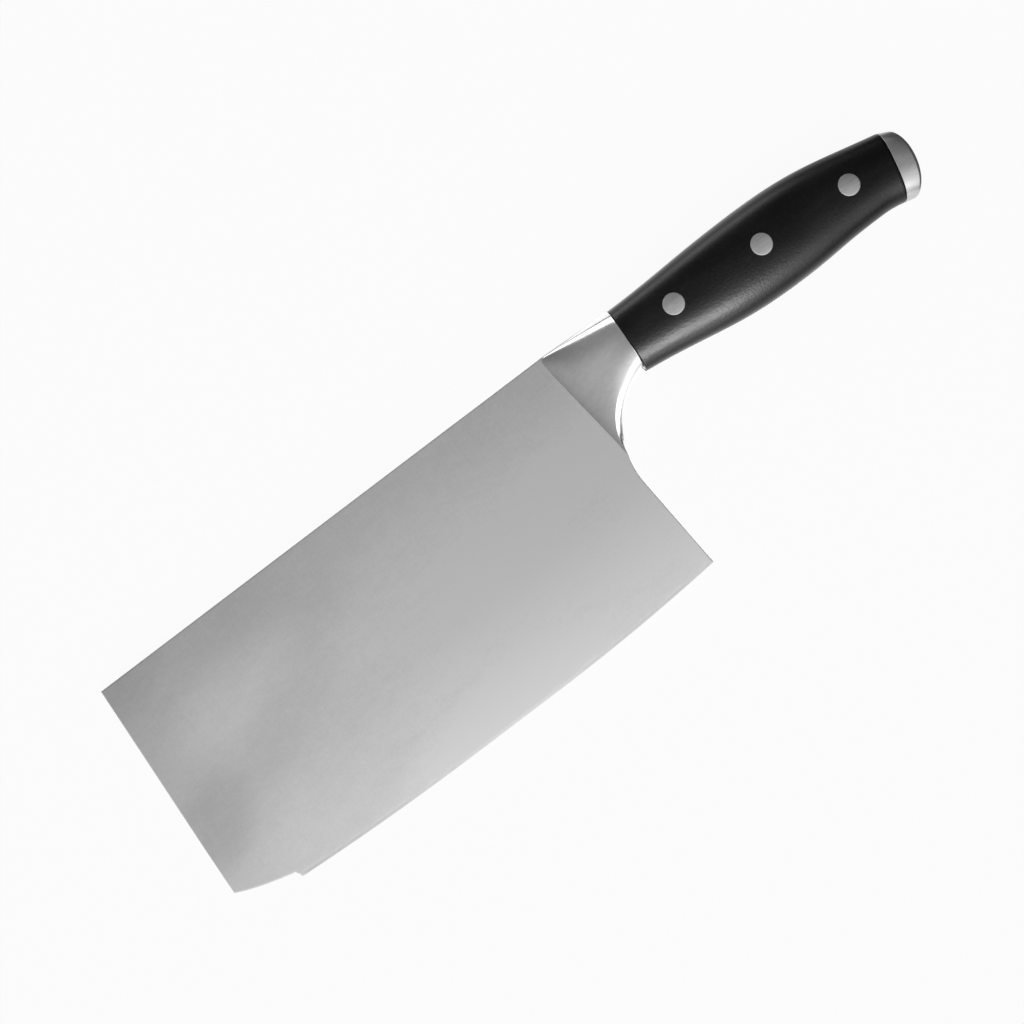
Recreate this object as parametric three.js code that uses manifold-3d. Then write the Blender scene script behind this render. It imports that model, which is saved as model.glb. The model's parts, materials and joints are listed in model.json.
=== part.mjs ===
// A kitchen cleaver with a riveted full-tang handle, lying at rest on its right side.
//
// The knife is drawn in its own frame: x runs along the spine from the blade's front corner to the
// butt, y runs up from the edge to the spine, which lies at y = 0, and z runs out of the knife's
// left side, with the middle of the blade at z = 0. The last section lays the knife down.

import * as THREE from "three";
import { LoftGeometry } from "three/addons/geometries/LoftGeometry.js";
import { mergeVertices } from "three/addons/utils/BufferGeometryUtils.js";
import Module from "manifold-3d";

// Sizes in millimetres, leans and slopes in degrees

// Blade
const spineLength = 167.2; // front corner to bolster
const bladeHeight = 84.2; // spine to the lowest stretch of the edge
const bladeThickness = 2.4; // cheeks
const tangThickness = 2; // neck and tang
const frontLean = 3.8; // the front end runs forward on its way down to the toe
const heelLean = 3.9; // the heel runs back on its way down to its corner
const toeRise = 3.7; // how far the edge climbs at the toe
const toeCurve = 85; // length of that climb
const heelRise = 2.8; // how far the edge climbs at the heel
const heelCurve = 62; // length of that climb
const grindHeight = 34; // convex grind above the edge
const bevelHeight = 0.9; // bevel above the edge
const shoulderThickness = 0.6; // blade where the bevel meets the grind
const edgeThickness = 0.12; // blade at the edge

// Relief cut into the toe
const reliefLength = 20.3; // from the toe back to its step
const reliefRise = 7; // how far it climbs to the front end
const reliefStep = 2.3; // height of the step
const reliefStepRun = 1.1; // length of the step
const reliefBow = 1.2; // how far its curve bows out
const reliefBowAt = 1 / 3; // share of the way back where it bows

// Bolster and the finger curve under it
const choilRadius = 27; // finger curve from the heel to the grip
const bolsterLength = 25.5; // along the spine
const creaseLean = 6.5; // its front edge runs back on its way down to the choil
const creaseStep = 0.4; // its front edge above the cheek
const bolsterRearHeight = 20.2; // at the seam with the grip
const bolsterRearThickness = 15; // at the seam with the grip
const spineFlare = 1.05; // power of the swelling along the spine, 1 is a straight taper
const choilFlare = 1.5; // power of the swelling along the choil, slower in front
const creaseSquareness = 9; // power of the section's outline at the crease
const bolsterSquareness = 2.6; // power of the section's outline at the seam
const roundingPower = 4; // how soon behind the crease the section rounds

// Grip
const gripLength = 97.8; // front seam to rear seam, along its back
const gripFrontDrop = 1; // its back at the front seam, below the spine
const gripFrontHeight = 21.7;
const gripFrontThickness = 15.4;
const seamLean = 3.1; // the front seam runs forward on its way down
const crestFromSeam = 46; // highest stretch of its back
const crestRise = 1.15; // that stretch above the front seam's top
const bellyFromSeam = 55; // fullest stretch of its underside
const bellyDepth = 29.4; // that stretch below the spine
const undersideSlope = 7; // the underside's slope where it leaves the bolster
const gripBellyThickness = 19.2; // half way along
const waistFromCap = 11; // drawn-in stretch of its underside, ahead of the cap
const waistDepth = 28.4; // that stretch below the spine
const gripDroop = 6.3; // its back at the rear seam, below the front seam's top
const gripRearHeight = 22.6;
const gripRearThickness = 18.8;
const rearLean = 12.6; // the rear seam runs forward on its way down
const gripSquareness = 2.6; // power of the section's outline, 2 is an ellipse

// End cap, and the tongue of the tang in it
const capLength = 6.6; // at half its height
const capRound = 1.2; // radius of its outer rim
const capDome = 0.9; // swelling of its end face
const capBow = 2.5; // how much shorter it is along its back and its underside
const capTaper = 1.1; // how far its back drops on the way to the rim
const tongueLength = 3;
const tongueHeight = 12;

// Two-part rivets on one line along the grip
const rivetFromSeam = 17.4;
const rivetPitch = 31.75;
const rivetDepth = 9.65; // below the front seam's top, square to that line
const headDiameter = 7.1;
const headThickness = 2;
const sleeveDiameter = 4.6;
const pinDiameter = 3;
const tipGap = 0.5; // free length at the tips of pin and sleeve

// Clearance between pieces that are glued, welded or pressed together
const fitGap = 0.2;

// How finely curves are stepped
const edgeSteps = 18;
const gripSteps = 22;
const bolsterSteps = 10;
const grindSteps = 5;
const sectionPoints = 32;
const roundSegments = 28;
const arcSteps = 4;
const curveReach = 0.45; // length of a curve's handles, as a share of its chord
const beyond = 20; // how far a cutting shape runs past what it cuts

// Points and lines in the plane of the blade

const radians = THREE.MathUtils.degToRad;
const at = (x, y) => new THREE.Vector2(x, y);
const step = (from, direction, length) => from.clone().addScaledVector(direction, length);
const middle = (a, b) => a.clone().add(b).multiplyScalar(0.5);

// Direction that runs down a line which leans back towards the butt
const down = (lean) => at(Math.sin(radians(lean)), -Math.cos(radians(lean)));

// Direction that runs towards the butt and slopes down
const back = (slope) => at(Math.cos(radians(slope)), -Math.sin(radians(slope)));

// Point at a depth below the start of a leaning line
const below = (start, lean, depth) => at(start.x + depth * Math.tan(radians(lean)), start.y - depth);

// Distances along a line at which it crosses a circle, nearer one first
function circleCrossings(start, direction, centre, radius) {
  const toCentre = centre.clone().sub(start);
  const nearest = toCentre.dot(direction);
  const half = Math.sqrt(radius ** 2 - toCentre.lengthSq() + nearest ** 2);
  return [nearest - half, nearest + half];
}

// Carries a path on to a point, leaving and arriving at the given slopes
function curveTo(path, end, leaving, arriving) {
  const reach = curveReach * path.currentPoint.distanceTo(end);
  const first = step(path.currentPoint, back(leaving), reach);
  const second = step(end, back(arriving), -reach);
  path.bezierCurveTo(first.x, first.y, second.x, second.y, end.x, end.y);
}

// Corners of the blade

const frontCorner = at(0, 0);
const spineEnd = at(spineLength, 0);
const toe = below(frontCorner, -frontLean, bladeHeight - toeRise);
const heel = below(spineEnd, heelLean, bladeHeight - heelRise);

function edgeHeight(x) {
  const toeShare = Math.max(0, 1 - (x - toe.x) / toeCurve);
  const heelShare = Math.max(0, 1 - (heel.x - x) / heelCurve);
  return toeRise * toeShare ** 2 + heelRise * heelShare ** 2 - bladeHeight;
}

// Seam between bolster and grip, and the finger curve that ends there

const seamTop = step(spineEnd, at(1, 0), bolsterLength).sub(at(0, gripFrontDrop));
const bolsterFoot = step(seamTop, down(-seamLean), bolsterRearHeight);
const gripFoot = step(seamTop, down(-seamLean), gripFrontHeight);

const choilStart = step(spineEnd, back(-heelLean), choilRadius);
const choilReach = circleCrossings(choilStart, down(heelLean), bolsterFoot, choilRadius)[1];
const choilCentre = step(choilStart, down(heelLean), choilReach);
const heelTangent = step(spineEnd, down(heelLean), choilReach);
const creaseCrossings = circleCrossings(spineEnd, down(creaseLean), choilCentre, choilRadius);
const creaseFoot = step(spineEnd, down(creaseLean), creaseCrossings[0]);
const pastCrease = step(spineEnd, down(creaseLean), creaseCrossings[1]);

const angleFromChoil = (place) => place.clone().sub(choilCentre).angle();
function choilArc(from, to, steps) {
  const start = angleFromChoil(from);
  const end = angleFromChoil(to);
  const path = new THREE.Path();
  path.absarc(choilCentre.x, choilCentre.y, choilRadius, start, end, true);
  return path.getSpacedPoints(steps);
}

// Back and underside of the grip, and the seam between grip and cap

const rearTop = at(seamTop.x + gripLength, seamTop.y - gripDroop);
const rearFoot = step(rearTop, down(-rearLean), gripRearHeight);
const rearMiddle = middle(rearTop, rearFoot);

const backCurve = new THREE.Path();
backCurve.moveTo(seamTop.x, seamTop.y);
curveTo(backCurve, at(seamTop.x + crestFromSeam, seamTop.y + crestRise), 0, 0);
curveTo(backCurve, rearTop, 0, rearLean);

const underCurve = new THREE.Path();
underCurve.moveTo(gripFoot.x, gripFoot.y);
curveTo(underCurve, at(gripFoot.x + bellyFromSeam, -bellyDepth), undersideSlope, 0);
curveTo(underCurve, at(rearFoot.x - waistFromCap, -waistDepth), 0, 0);
curveTo(underCurve, rearFoot, 0, rearLean);

const gripTops = backCurve.getSpacedPoints(gripSteps);
const gripFeet = underCurve.getSpacedPoints(gripSteps);
const swelling = new THREE.SplineCurve([
  at(0, gripFrontThickness / 2),
  at(0.5, gripBellyThickness / 2),
  at(1, gripRearThickness / 2),
]);
const gripHalfThickness = (share) => swelling.getPoint(share).y;

// Rivet places, each with the height of its heads' seats

const rivets = ["front", "middle", "rear"].map((name, index) => {
  const along = rivetFromSeam + index * rivetPitch;
  const onLine = step(seamTop, back(seamLean), along);
  const place = step(onLine, down(-seamLean), rivetDepth);
  const seat = gripHalfThickness(along / gripLength) - headThickness;
  return { name, place, seat };
});

// Solids

const wasm = await Module();
wasm.setup();

function solidFrom(geometry) {
  const bare = new THREE.BufferGeometry();
  bare.setAttribute("position", geometry.getAttribute("position"));
  bare.setIndex(geometry.getIndex());
  const welded = mergeVertices(bare);
  const vertProperties = welded.getAttribute("position").array;
  const triVerts = Uint32Array.from(welded.getIndex().array);
  return new wasm.Manifold(new wasm.Mesh({ numProp: 3, vertProperties, triVerts }));
}

function geometryFrom(solid) {
  const mesh = solid.getMesh();
  const geometry = new THREE.BufferGeometry();
  geometry.setAttribute("position", new THREE.BufferAttribute(mesh.vertProperties, 3));
  geometry.setIndex(new THREE.BufferAttribute(mesh.triVerts, 1));
  geometry.computeVertexNormals();
  return geometry;
}

const loft = (sections) => solidFrom(new LoftGeometry(sections, { capStart: true, capEnd: true }));

function boxFrom(low, high) {
  const size = high.clone().sub(low);
  const centre = low.clone().add(high).multiplyScalar(0.5);
  const geometry = new THREE.BoxGeometry(size.x, size.y, size.z);
  return solidFrom(geometry.translate(centre.x, centre.y, centre.z));
}

// Round rod square to the blade, between two heights
function rod(place, diameter, low, high) {
  const geometry = new THREE.CylinderGeometry(diameter / 2, diameter / 2, high - low, roundSegments);
  geometry.rotateX(Math.PI / 2);
  return solidFrom(geometry.translate(place.x, place.y, (low + high) / 2));
}

// Turned piece square to the blade, from its radii and heights
function turned(place, profile) {
  const points = profile.map(([radius, height]) => at(radius, height));
  const geometry = new THREE.LatheGeometry(points, roundSegments);
  geometry.rotateX(Math.PI / 2);
  return solidFrom(geometry.translate(place.x, place.y, 0));
}

// Section between a top and a foot point: a squared ellipse whose half thickness depends on the
// share of the way down
function section(top, foot, squareness, halfThickness) {
  const centre = middle(top, foot);
  const rise = top.clone().sub(centre);
  const bulge = (value) => Math.sign(value) * Math.abs(value) ** (2 / squareness);
  return Array.from({ length: sectionPoints }, (_, index) => {
    const angle = (index / sectionPoints) * 2 * Math.PI;
    const up = bulge(Math.cos(angle));
    const half = halfThickness((1 - up) / 2);
    return new THREE.Vector3(centre.x + rise.x * up, centre.y + rise.y * up, half * bulge(Math.sin(angle)));
  });
}

// Blade and tang: a plate with the whole outline, thinned to the edge

function reliefOutline() {
  const front = below(frontCorner, -frontLean, bladeHeight - toeRise - reliefRise);
  const stepX = toe.x + reliefLength;
  const stepFoot = at(stepX, edgeHeight(stepX));
  const stepHead = stepFoot.clone().add(at(-reliefStepRun, reliefStep));
  const bow = front.clone().lerp(stepHead, reliefBowAt).sub(at(0, reliefBow));
  const curve = new THREE.QuadraticBezierCurve(front, bow, stepHead);
  return [...curve.getPoints(arcSteps), stepFoot];
}

function edgeOutline(startX) {
  return Array.from({ length: edgeSteps }, (_, index) => {
    const x = THREE.MathUtils.lerp(startX, heel.x, (index + 1) / edgeSteps);
    return at(x, edgeHeight(x));
  });
}

function tongueOutline() {
  const ahead = back(rearLean);
  const upper = step(rearMiddle, down(-rearLean), -tongueHeight / 2);
  const lower = step(rearMiddle, down(-rearLean), tongueHeight / 2);
  return [lower, step(lower, ahead, tongueLength), step(upper, ahead, tongueLength), upper];
}

function plateSolid() {
  const relief = reliefOutline();
  const shape = new THREE.Shape([
    frontCorner,
    ...relief,
    ...edgeOutline(relief.at(-1).x),
    ...choilArc(heelTangent, creaseFoot, arcSteps),
    ...choilArc(creaseFoot, bolsterFoot, bolsterSteps).slice(1),
    ...gripFeet,
    ...tongueOutline(),
    ...gripTops.toReversed(),
    spineEnd,
  ]);
  for (const { place } of rivets) {
    const hole = new THREE.Path();
    hole.absarc(place.x, place.y, sleeveDiameter / 2 + fitGap, 0, 2 * Math.PI);
    shape.holes.push(hole);
  }
  const options = { depth: bladeThickness, bevelEnabled: false, curveSegments: roundSegments };
  const geometry = new THREE.ExtrudeGeometry(shape, options);
  return solidFrom(geometry.translate(0, 0, -bladeThickness / 2));
}

// Heights above the edge with the blade's half thickness there
function grindProfile() {
  const profile = [[-beyond, edgeThickness / 2], [0, edgeThickness / 2]];
  for (let index = 0; index <= grindSteps; index += 1) {
    const share = index / grindSteps;
    const height = THREE.MathUtils.lerp(bevelHeight, grindHeight, share);
    const thickness = THREE.MathUtils.lerp(bladeThickness, shoulderThickness, (1 - share) ** 2);
    profile.push([height, thickness / 2]);
  }
  profile.push([bladeHeight + beyond, bladeThickness / 2 + beyond]);
  return profile;
}

function groundSolid() {
  const profile = grindProfile();
  const sectionAt = (x, edge) => [
    ...profile.map(([height, half]) => new THREE.Vector3(x, edge + height, -half)),
    ...profile.toReversed().map(([height, half]) => new THREE.Vector3(x, edge + height, half)),
  ];
  const sections = [sectionAt(toe.x - beyond, edgeHeight(toe.x))];
  for (let index = 0; index <= edgeSteps; index += 1) {
    const x = THREE.MathUtils.lerp(toe.x, heel.x, index / edgeSteps);
    sections.push(sectionAt(x, edgeHeight(x)));
  }
  sections.push(sectionAt(rearTop.x + beyond, edgeHeight(heel.x)));
  return loft(sections);
}

// Space beside the neck and tang, from just ahead of the crease, which the thicker cheeks lack
function tangRecess(side) {
  const upper = step(spineEnd, down(creaseLean), -beyond).sub(at(fitGap, 0));
  const lower = middle(creaseFoot, pastCrease).sub(at(fitGap, 0));
  const farX = rearTop.x + beyond;
  const shape = new THREE.Shape([lower, at(farX, lower.y), at(farX, upper.y), upper]);
  const geometry = new THREE.ExtrudeGeometry(shape, { depth: beyond, bevelEnabled: false });
  const centre = side * (tangThickness / 2 + beyond / 2);
  return solidFrom(geometry.translate(0, 0, centre - beyond / 2));
}

function bladeSolid() {
  const ground = plateSolid().intersect(groundSolid());
  return ground.subtract(tangRecess(1)).subtract(tangRecess(-1));
}

// Space on one side of the tang, where a bolster half or a scale lies
function sideSpace(side) {
  const inner = side * (tangThickness / 2 + fitGap);
  const outer = side * (tangThickness + gripBellyThickness + beyond);
  const low = new THREE.Vector3(frontCorner.x, -bladeHeight, Math.min(inner, outer));
  const high = new THREE.Vector3(rearTop.x + beyond, bladeHeight, Math.max(inner, outer));
  return boxFrom(low, high);
}

// Bolster: swells from the crease to the seam
function bolsterSolid() {
  const feet = choilArc(creaseFoot, bolsterFoot, bolsterSteps);
  const sections = feet.map((foot, index) => {
    const share = index / bolsterSteps;
    const top = spineEnd.clone().lerp(seamTop, share);
    const rounding = (1 - share) ** roundingPower;
    const squareness = THREE.MathUtils.lerp(bolsterSquareness, creaseSquareness, rounding);
    return section(top, foot, squareness, (depth) => {
      const swell = share ** THREE.MathUtils.lerp(spineFlare, choilFlare, depth);
      const front = bladeThickness / 2 + creaseStep;
      return THREE.MathUtils.lerp(front, bolsterRearThickness / 2, swell);
    });
  });
  return loft(sections);
}

// Grip: both scales and the tang between them in one, clear of the seams
function gripSolid() {
  const sections = gripTops.map((top, index) => {
    const half = gripHalfThickness(index / gripSteps);
    return section(top, gripFeet[index], gripSquareness, () => half);
  });
  const frontShift = back(seamLean).multiplyScalar(fitGap);
  const rearShift = back(rearLean).multiplyScalar(-fitGap);
  const shift = (ring, by) => ring.forEach((corner) => corner.add(new THREE.Vector3(by.x, by.y, 0)));
  shift(sections[0], frontShift);
  shift(sections.at(-1), rearShift);
  return loft(sections);
}

function rivetHoles() {
  const far = gripBellyThickness;
  return rivets.flatMap(({ place, seat }) => [
    rod(place, sleeveDiameter + 2 * fitGap, -far, far),
    rod(place, headDiameter + 2 * fitGap, seat, far),
    rod(place, headDiameter + 2 * fitGap, -far, -seat),
  ]);
}

function scaleSolid(grip, side) {
  const slab = grip.intersect(sideSpace(side));
  return rivetHoles().reduce((solid, hole) => solid.subtract(hole), slab);
}

// Rivet halves: heads run past the grip and are cut flush with it

function rivetPin(grip, { place, seat }) {
  const head = headDiameter / 2;
  const shank = pinDiameter / 2;
  const tip = tipGap - seat;
  const top = seat + fitGap;
  const far = gripBellyThickness;
  const profile = [[0, tip], [shank, tip], [shank, top], [head, top], [head, far], [0, far]];
  return turned(place, profile).intersect(grip);
}

function rivetSleeve(grip, { place, seat }) {
  const head = headDiameter / 2;
  const outside = sleeveDiameter / 2;
  const bore = pinDiameter / 2 + fitGap;
  const tip = seat - tipGap;
  const top = -seat - fitGap;
  const far = -gripBellyThickness;
  const shell = [[0, far], [head, far], [head, top], [outside, top], [outside, tip]];
  const inside = [[bore, tip], [bore, -seat], [0, -seat]];
  return turned(place, [...shell, ...inside]).intersect(grip);
}

// End cap: follows the grip's rear section, with a bowed end, a rounded rim and a pocket for the tongue
function capSolid() {
  const ahead = back(rearLean);
  const ring = (offset, inset) => {
    const share = offset / capLength;
    const top = step(rearTop, down(-rearLean), inset + capTaper * share);
    const foot = step(rearFoot, down(-rearLean), -inset);
    const corners = section(top, foot, gripSquareness, () => gripRearThickness / 2 - inset);
    return corners.map((corner) => {
      const up = (corner.y - rearMiddle.y) / (rearTop.y - rearMiddle.y);
      const reach = offset - capBow * share * up ** 2;
      return corner.add(new THREE.Vector3(ahead.x * reach, ahead.y * reach, 0));
    });
  };
  const rings = [ring(fitGap, 0)];
  for (let index = 0; index <= arcSteps; index += 1) {
    const turn = (index / arcSteps) * (Math.PI / 2);
    const offset = capLength - capRound * (1 - Math.sin(turn));
    rings.push(ring(offset, capRound * (1 - Math.cos(turn))));
  }
  const halfWayIn = (capRound + gripRearThickness / 2) / 2;
  rings.push(ring(capLength + capDome, halfWayIn));
  return loft(rings).subtract(tonguePocket());
}

function tonguePocket() {
  const depth = tongueLength + fitGap;
  const height = tongueHeight + 2 * fitGap;
  const width = tangThickness + 2 * fitGap;
  const geometry = new THREE.BoxGeometry(2 * depth, height, width);
  geometry.rotateZ(-radians(rearLean));
  return solidFrom(geometry.translate(rearMiddle.x, rearMiddle.y, 0));
}

// Finishes

const bladeSteel = { color: 0xb9bbbd, roughness: 0.42, metalness: 1 };
const polishedSteel = { color: 0xc4c6c8, roughness: 0.18, metalness: 1 };
const rivetSteel = { color: 0xa9abad, roughness: 0.35, metalness: 1 };
const blackPlastic = { color: 0x0b0b0c, roughness: 0.38, metalness: 0 };

// The knife, piece by piece

const knife = new THREE.Group();

function addPiece(name, solid, finish) {
  const mesh = new THREE.Mesh(geometryFrom(solid), new THREE.MeshStandardMaterial(finish));
  mesh.name = name;
  knife.add(mesh);
}

const bolster = bolsterSolid();
const grip = gripSolid();

addPiece("blade_with_tang", bladeSolid(), bladeSteel);
addPiece("bolster_left", bolster.intersect(sideSpace(1)), polishedSteel);
addPiece("bolster_right", bolster.intersect(sideSpace(-1)), polishedSteel);
addPiece("scale_left", scaleSolid(grip, 1), blackPlastic);
addPiece("scale_right", scaleSolid(grip, -1), blackPlastic);
addPiece("end_cap", capSolid(), polishedSteel);
for (const rivet of rivets) {
  addPiece(`${rivet.name}_rivet_pin`, rivetPin(grip, rivet), rivetSteel);
  addPiece(`${rivet.name}_rivet_sleeve`, rivetSleeve(grip, rivet), rivetSteel);
}

// Laid on its right side, the knife touches with the front of the cheek and the fullest part of the
// grip, and the origin is under the middle of the whole

const cheekFront = below(frontCorner, -frontLean, bladeHeight - toeRise - grindHeight);
const tilts = gripTops.map((top, index) => {
  const drop = gripHalfThickness(index / gripSteps) - bladeThickness / 2;
  return Math.atan2(drop, middle(top, gripFeet[index]).x - cheekFront.x);
});
knife.rotation.y = -Math.max(...tilts);

const extent = new THREE.Box3().setFromObject(knife, true);
const centre = extent.getCenter(new THREE.Vector3());
knife.position.set(-centre.x, -centre.y, -extent.min.z);

const cleaver = new THREE.Group();
cleaver.add(knife);

export default cleaver;
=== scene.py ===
"""The finished surfaces of a kitchen cleaver that lies on its right side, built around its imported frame.

The pieces are drawn in the knife's own frame, in metres: x runs along the spine from the blade's front
corner to the butt, y runs up from the edge to the spine at y = 0, and z runs out of the left side, with
the middle of the blade at z = 0. The frame's record says where the knife lies.
"""

import json
import logging
import math
from bisect import bisect_right
from collections.abc import Callable
from dataclasses import dataclass, field
from enum import Enum

import bmesh
import bpy
from mathutils import Matrix, Vector


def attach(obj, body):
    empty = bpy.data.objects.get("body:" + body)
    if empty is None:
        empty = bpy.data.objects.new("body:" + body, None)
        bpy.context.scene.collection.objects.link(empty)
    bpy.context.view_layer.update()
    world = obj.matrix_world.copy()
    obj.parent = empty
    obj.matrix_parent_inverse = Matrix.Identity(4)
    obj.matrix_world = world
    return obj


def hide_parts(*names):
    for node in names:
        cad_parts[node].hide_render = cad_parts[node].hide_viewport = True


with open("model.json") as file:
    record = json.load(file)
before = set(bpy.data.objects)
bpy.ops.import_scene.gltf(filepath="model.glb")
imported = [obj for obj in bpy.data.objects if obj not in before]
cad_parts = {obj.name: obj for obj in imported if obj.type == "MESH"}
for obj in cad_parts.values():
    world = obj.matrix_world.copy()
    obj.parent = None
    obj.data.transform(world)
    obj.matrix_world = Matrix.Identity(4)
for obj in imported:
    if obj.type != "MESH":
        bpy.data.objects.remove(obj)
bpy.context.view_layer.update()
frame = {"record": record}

LOG = logging.getLogger("cleaver")
BODY = "root"
CHEEK_MOUNT = "left_cheek"
CHEEK_POINT = Vector((0.082, -0.026, 0.0012))  # that mount, in the knife's frame
CREASE_ANGLE = 38  # an edge that turns by more degrees than this stays sharp
MERGE_DISTANCE = 0.000001
BISECTIONS = 40
ROUNDING_TURNS = (90, 60, 30, 0)
Amount = float | Vector


class Side(Enum):
    """The knife's two sides, by the sign of their outward direction."""

    LEFT = 1
    RIGHT = -1


class Slot(Enum):
    """The record's material slots."""

    BLADE = "blade_steel"
    POLISHED = "polished_steel"
    GRIP = "black_grip"
    RIVET = "rivet_steel"


class Held(Enum):
    """What each point of the blade's mesh holds for its grinding and its finish."""

    ABOVE_EDGE = "above_edge"
    EASED = "eased"
    TANG = "tang"
    AHEAD_OF_CREASE = "ahead_of_crease"
    ALONG_SPINE = "along_spine"
    OVER_SPINE = "over_spine"


class Ramp(Enum):
    """How a value rises between two limits."""

    SMOOTH = "SMOOTHSTEP"
    STRAIGHT = "LINEAR"


class Reach(Enum):
    """What a softbox does with the pieces that are named for it."""

    LIGHTS_ONLY = "INCLUDE"
    SPARES = "EXCLUDE"


# Points, lines and curves in the plane of the blade


def lerp(first: Amount, second: Amount, share: float) -> Amount:
    """Number or vector a share of the way from one to another."""
    return first + (second - first) * share


def spread(start: float, end: float, steps: int) -> list[float]:
    """Numbers in equal steps from a start to an end, with both of them."""
    return [lerp(start, end, step / steps) for step in range(steps + 1)]


def down(lean: float) -> Vector:
    """Direction down a line that leans back towards the butt by some degrees."""
    return Vector((math.sin(math.radians(lean)), -math.cos(math.radians(lean))))


def back(slope: float) -> Vector:
    """Direction towards the butt that slopes down by some degrees."""
    return Vector((math.cos(math.radians(slope)), -math.sin(math.radians(slope))))


def crossing(low: float, high: float, short: Callable[[float], bool]) -> float:
    """Close in on the place where a test stops holding.

    Args:
        low: A place where the test holds.
        high: A place where it doesn't.
        short: The test.

    Returns:
        The place, on the side where the test doesn't hold.
    """
    for _ in range(BISECTIONS):
        middle = (low + high) / 2
        if short(middle):
            low = middle
        else:
            high = middle
    return high


def circle_crossings(start: Vector, direction: Vector, centre: Vector, radius: float) -> tuple[float, float]:
    """Find where a line crosses a circle.

    Args:
        start: Point on the line.
        direction: Unit direction of the line.
        centre: Centre of the circle.
        radius: Radius of the circle.

    Returns:
        The two distances along the line, nearer one first.
    """
    to_centre = centre - start
    nearest = to_centre.dot(direction)
    half = math.sqrt(radius**2 - to_centre.length_squared + nearest**2)
    return nearest - half, nearest + half


def quarter_round(radius: float) -> list[tuple[float, float]]:
    """Round the border of an end face.

    Args:
        radius: Radius of the rounding.

    Returns:
        For each ring from the end face to the side, how far it is drawn in and how far it stands back.
    """
    turns = [math.radians(turn) for turn in ROUNDING_TURNS]
    return [(radius * (1 - math.cos(turn)), radius * (1 - math.sin(turn))) for turn in turns]


def squared_ring(up: float, out: float, squareness: float) -> Vector:
    """Push a direction out to a squared circle of radius 1.

    Args:
        up: Upward part of the direction.
        out: Outward part of the direction.
        squareness: Power of the outline, 2 is a circle.

    Returns:
        The point (up, out) on the outline.
    """
    size = (abs(up) ** squareness + abs(out) ** squareness) ** (1 / squareness)
    return Vector((up / size, out / size))


class SmoothPath:
    """A path of smooth stretches that can be read at any share of its length."""

    REACH = 0.45  # length of a stretch's handles, as a share of its chord
    STEPS = 160  # steps on a stretch

    def __init__(self, start: Vector, stretches: list[tuple[Vector, float, float]]) -> None:
        """Lay out the path.

        Args:
            start: Where the path starts.
            stretches: The end of each stretch, with the slopes at which it leaves and arrives.
        """
        self.points = [start]
        for end, leaving, arriving in stretches:
            first = self.points[-1]
            reach = self.REACH * (end - first).length
            knots = (first, first + back(leaving) * reach, end - back(arriving) * reach, end)
            self.points += [self._bezier(knots, share) for share in spread(0.0, 1.0, self.STEPS)[1:]]
        self.marks = [0.0]
        for one, two in zip(self.points, self.points[1:]):
            self.marks.append(self.marks[-1] + (two - one).length)

    @staticmethod
    def _bezier(knots: tuple[Vector, ...], share: float) -> Vector:
        """Read a cubic curve.

        Args:
            knots: Its two ends with their handles between them.
            share: Share of its parameter.

        Returns:
            The point there.
        """
        a, b, c, d = knots
        rest = 1 - share
        return a * rest**3 + b * (3 * rest**2 * share) + c * (3 * rest * share**2) + d * share**3

    def at(self, share: float) -> Vector:
        """Read the path.

        Args:
            share: Share of the path's length.

        Returns:
            The point there.
        """
        along = share * self.marks[-1]
        index = min(bisect_right(self.marks, along), len(self.marks) - 1)
        start, end = self.marks[index - 1], self.marks[index]
        return lerp(self.points[index - 1], self.points[index], (along - start) / (end - start))


@dataclass(frozen=True)
class KnifeFrame:
    """Where the knife's own frame lies in the row's frame."""

    matrix: Matrix

    @classmethod
    def from_record(cls, record: dict, mount: str, point: Vector) -> "KnifeFrame":
        """Find the knife by a flat mount on its left cheek.

        Args:
            record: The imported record.
            mount: Name of the mount.
            point: The mount's point in the knife's own frame.

        Returns:
            The knife's frame.
        """
        found = next(m for m in record["mounts"] if m["name"] == mount)
        out = Vector(found["axis"]).normalized()
        up = Vector((0, 1, 0))
        turn = Matrix((up.cross(out), up, out)).transposed()
        origin = Vector(found["pos_m"]) - turn @ point
        return cls(Matrix.Translation(origin) @ turn.to_4x4())

    def point(self, x: float, y: float, z: float) -> Vector:
        """Point of the knife's frame, in the row's frame."""
        return self.matrix @ Vector((x, y, z))

    def direction(self, x: float, y: float, z: float) -> Vector:
        """Direction of the knife's frame, in the row's frame."""
        return self.matrix.to_3x3() @ Vector((x, y, z))


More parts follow.
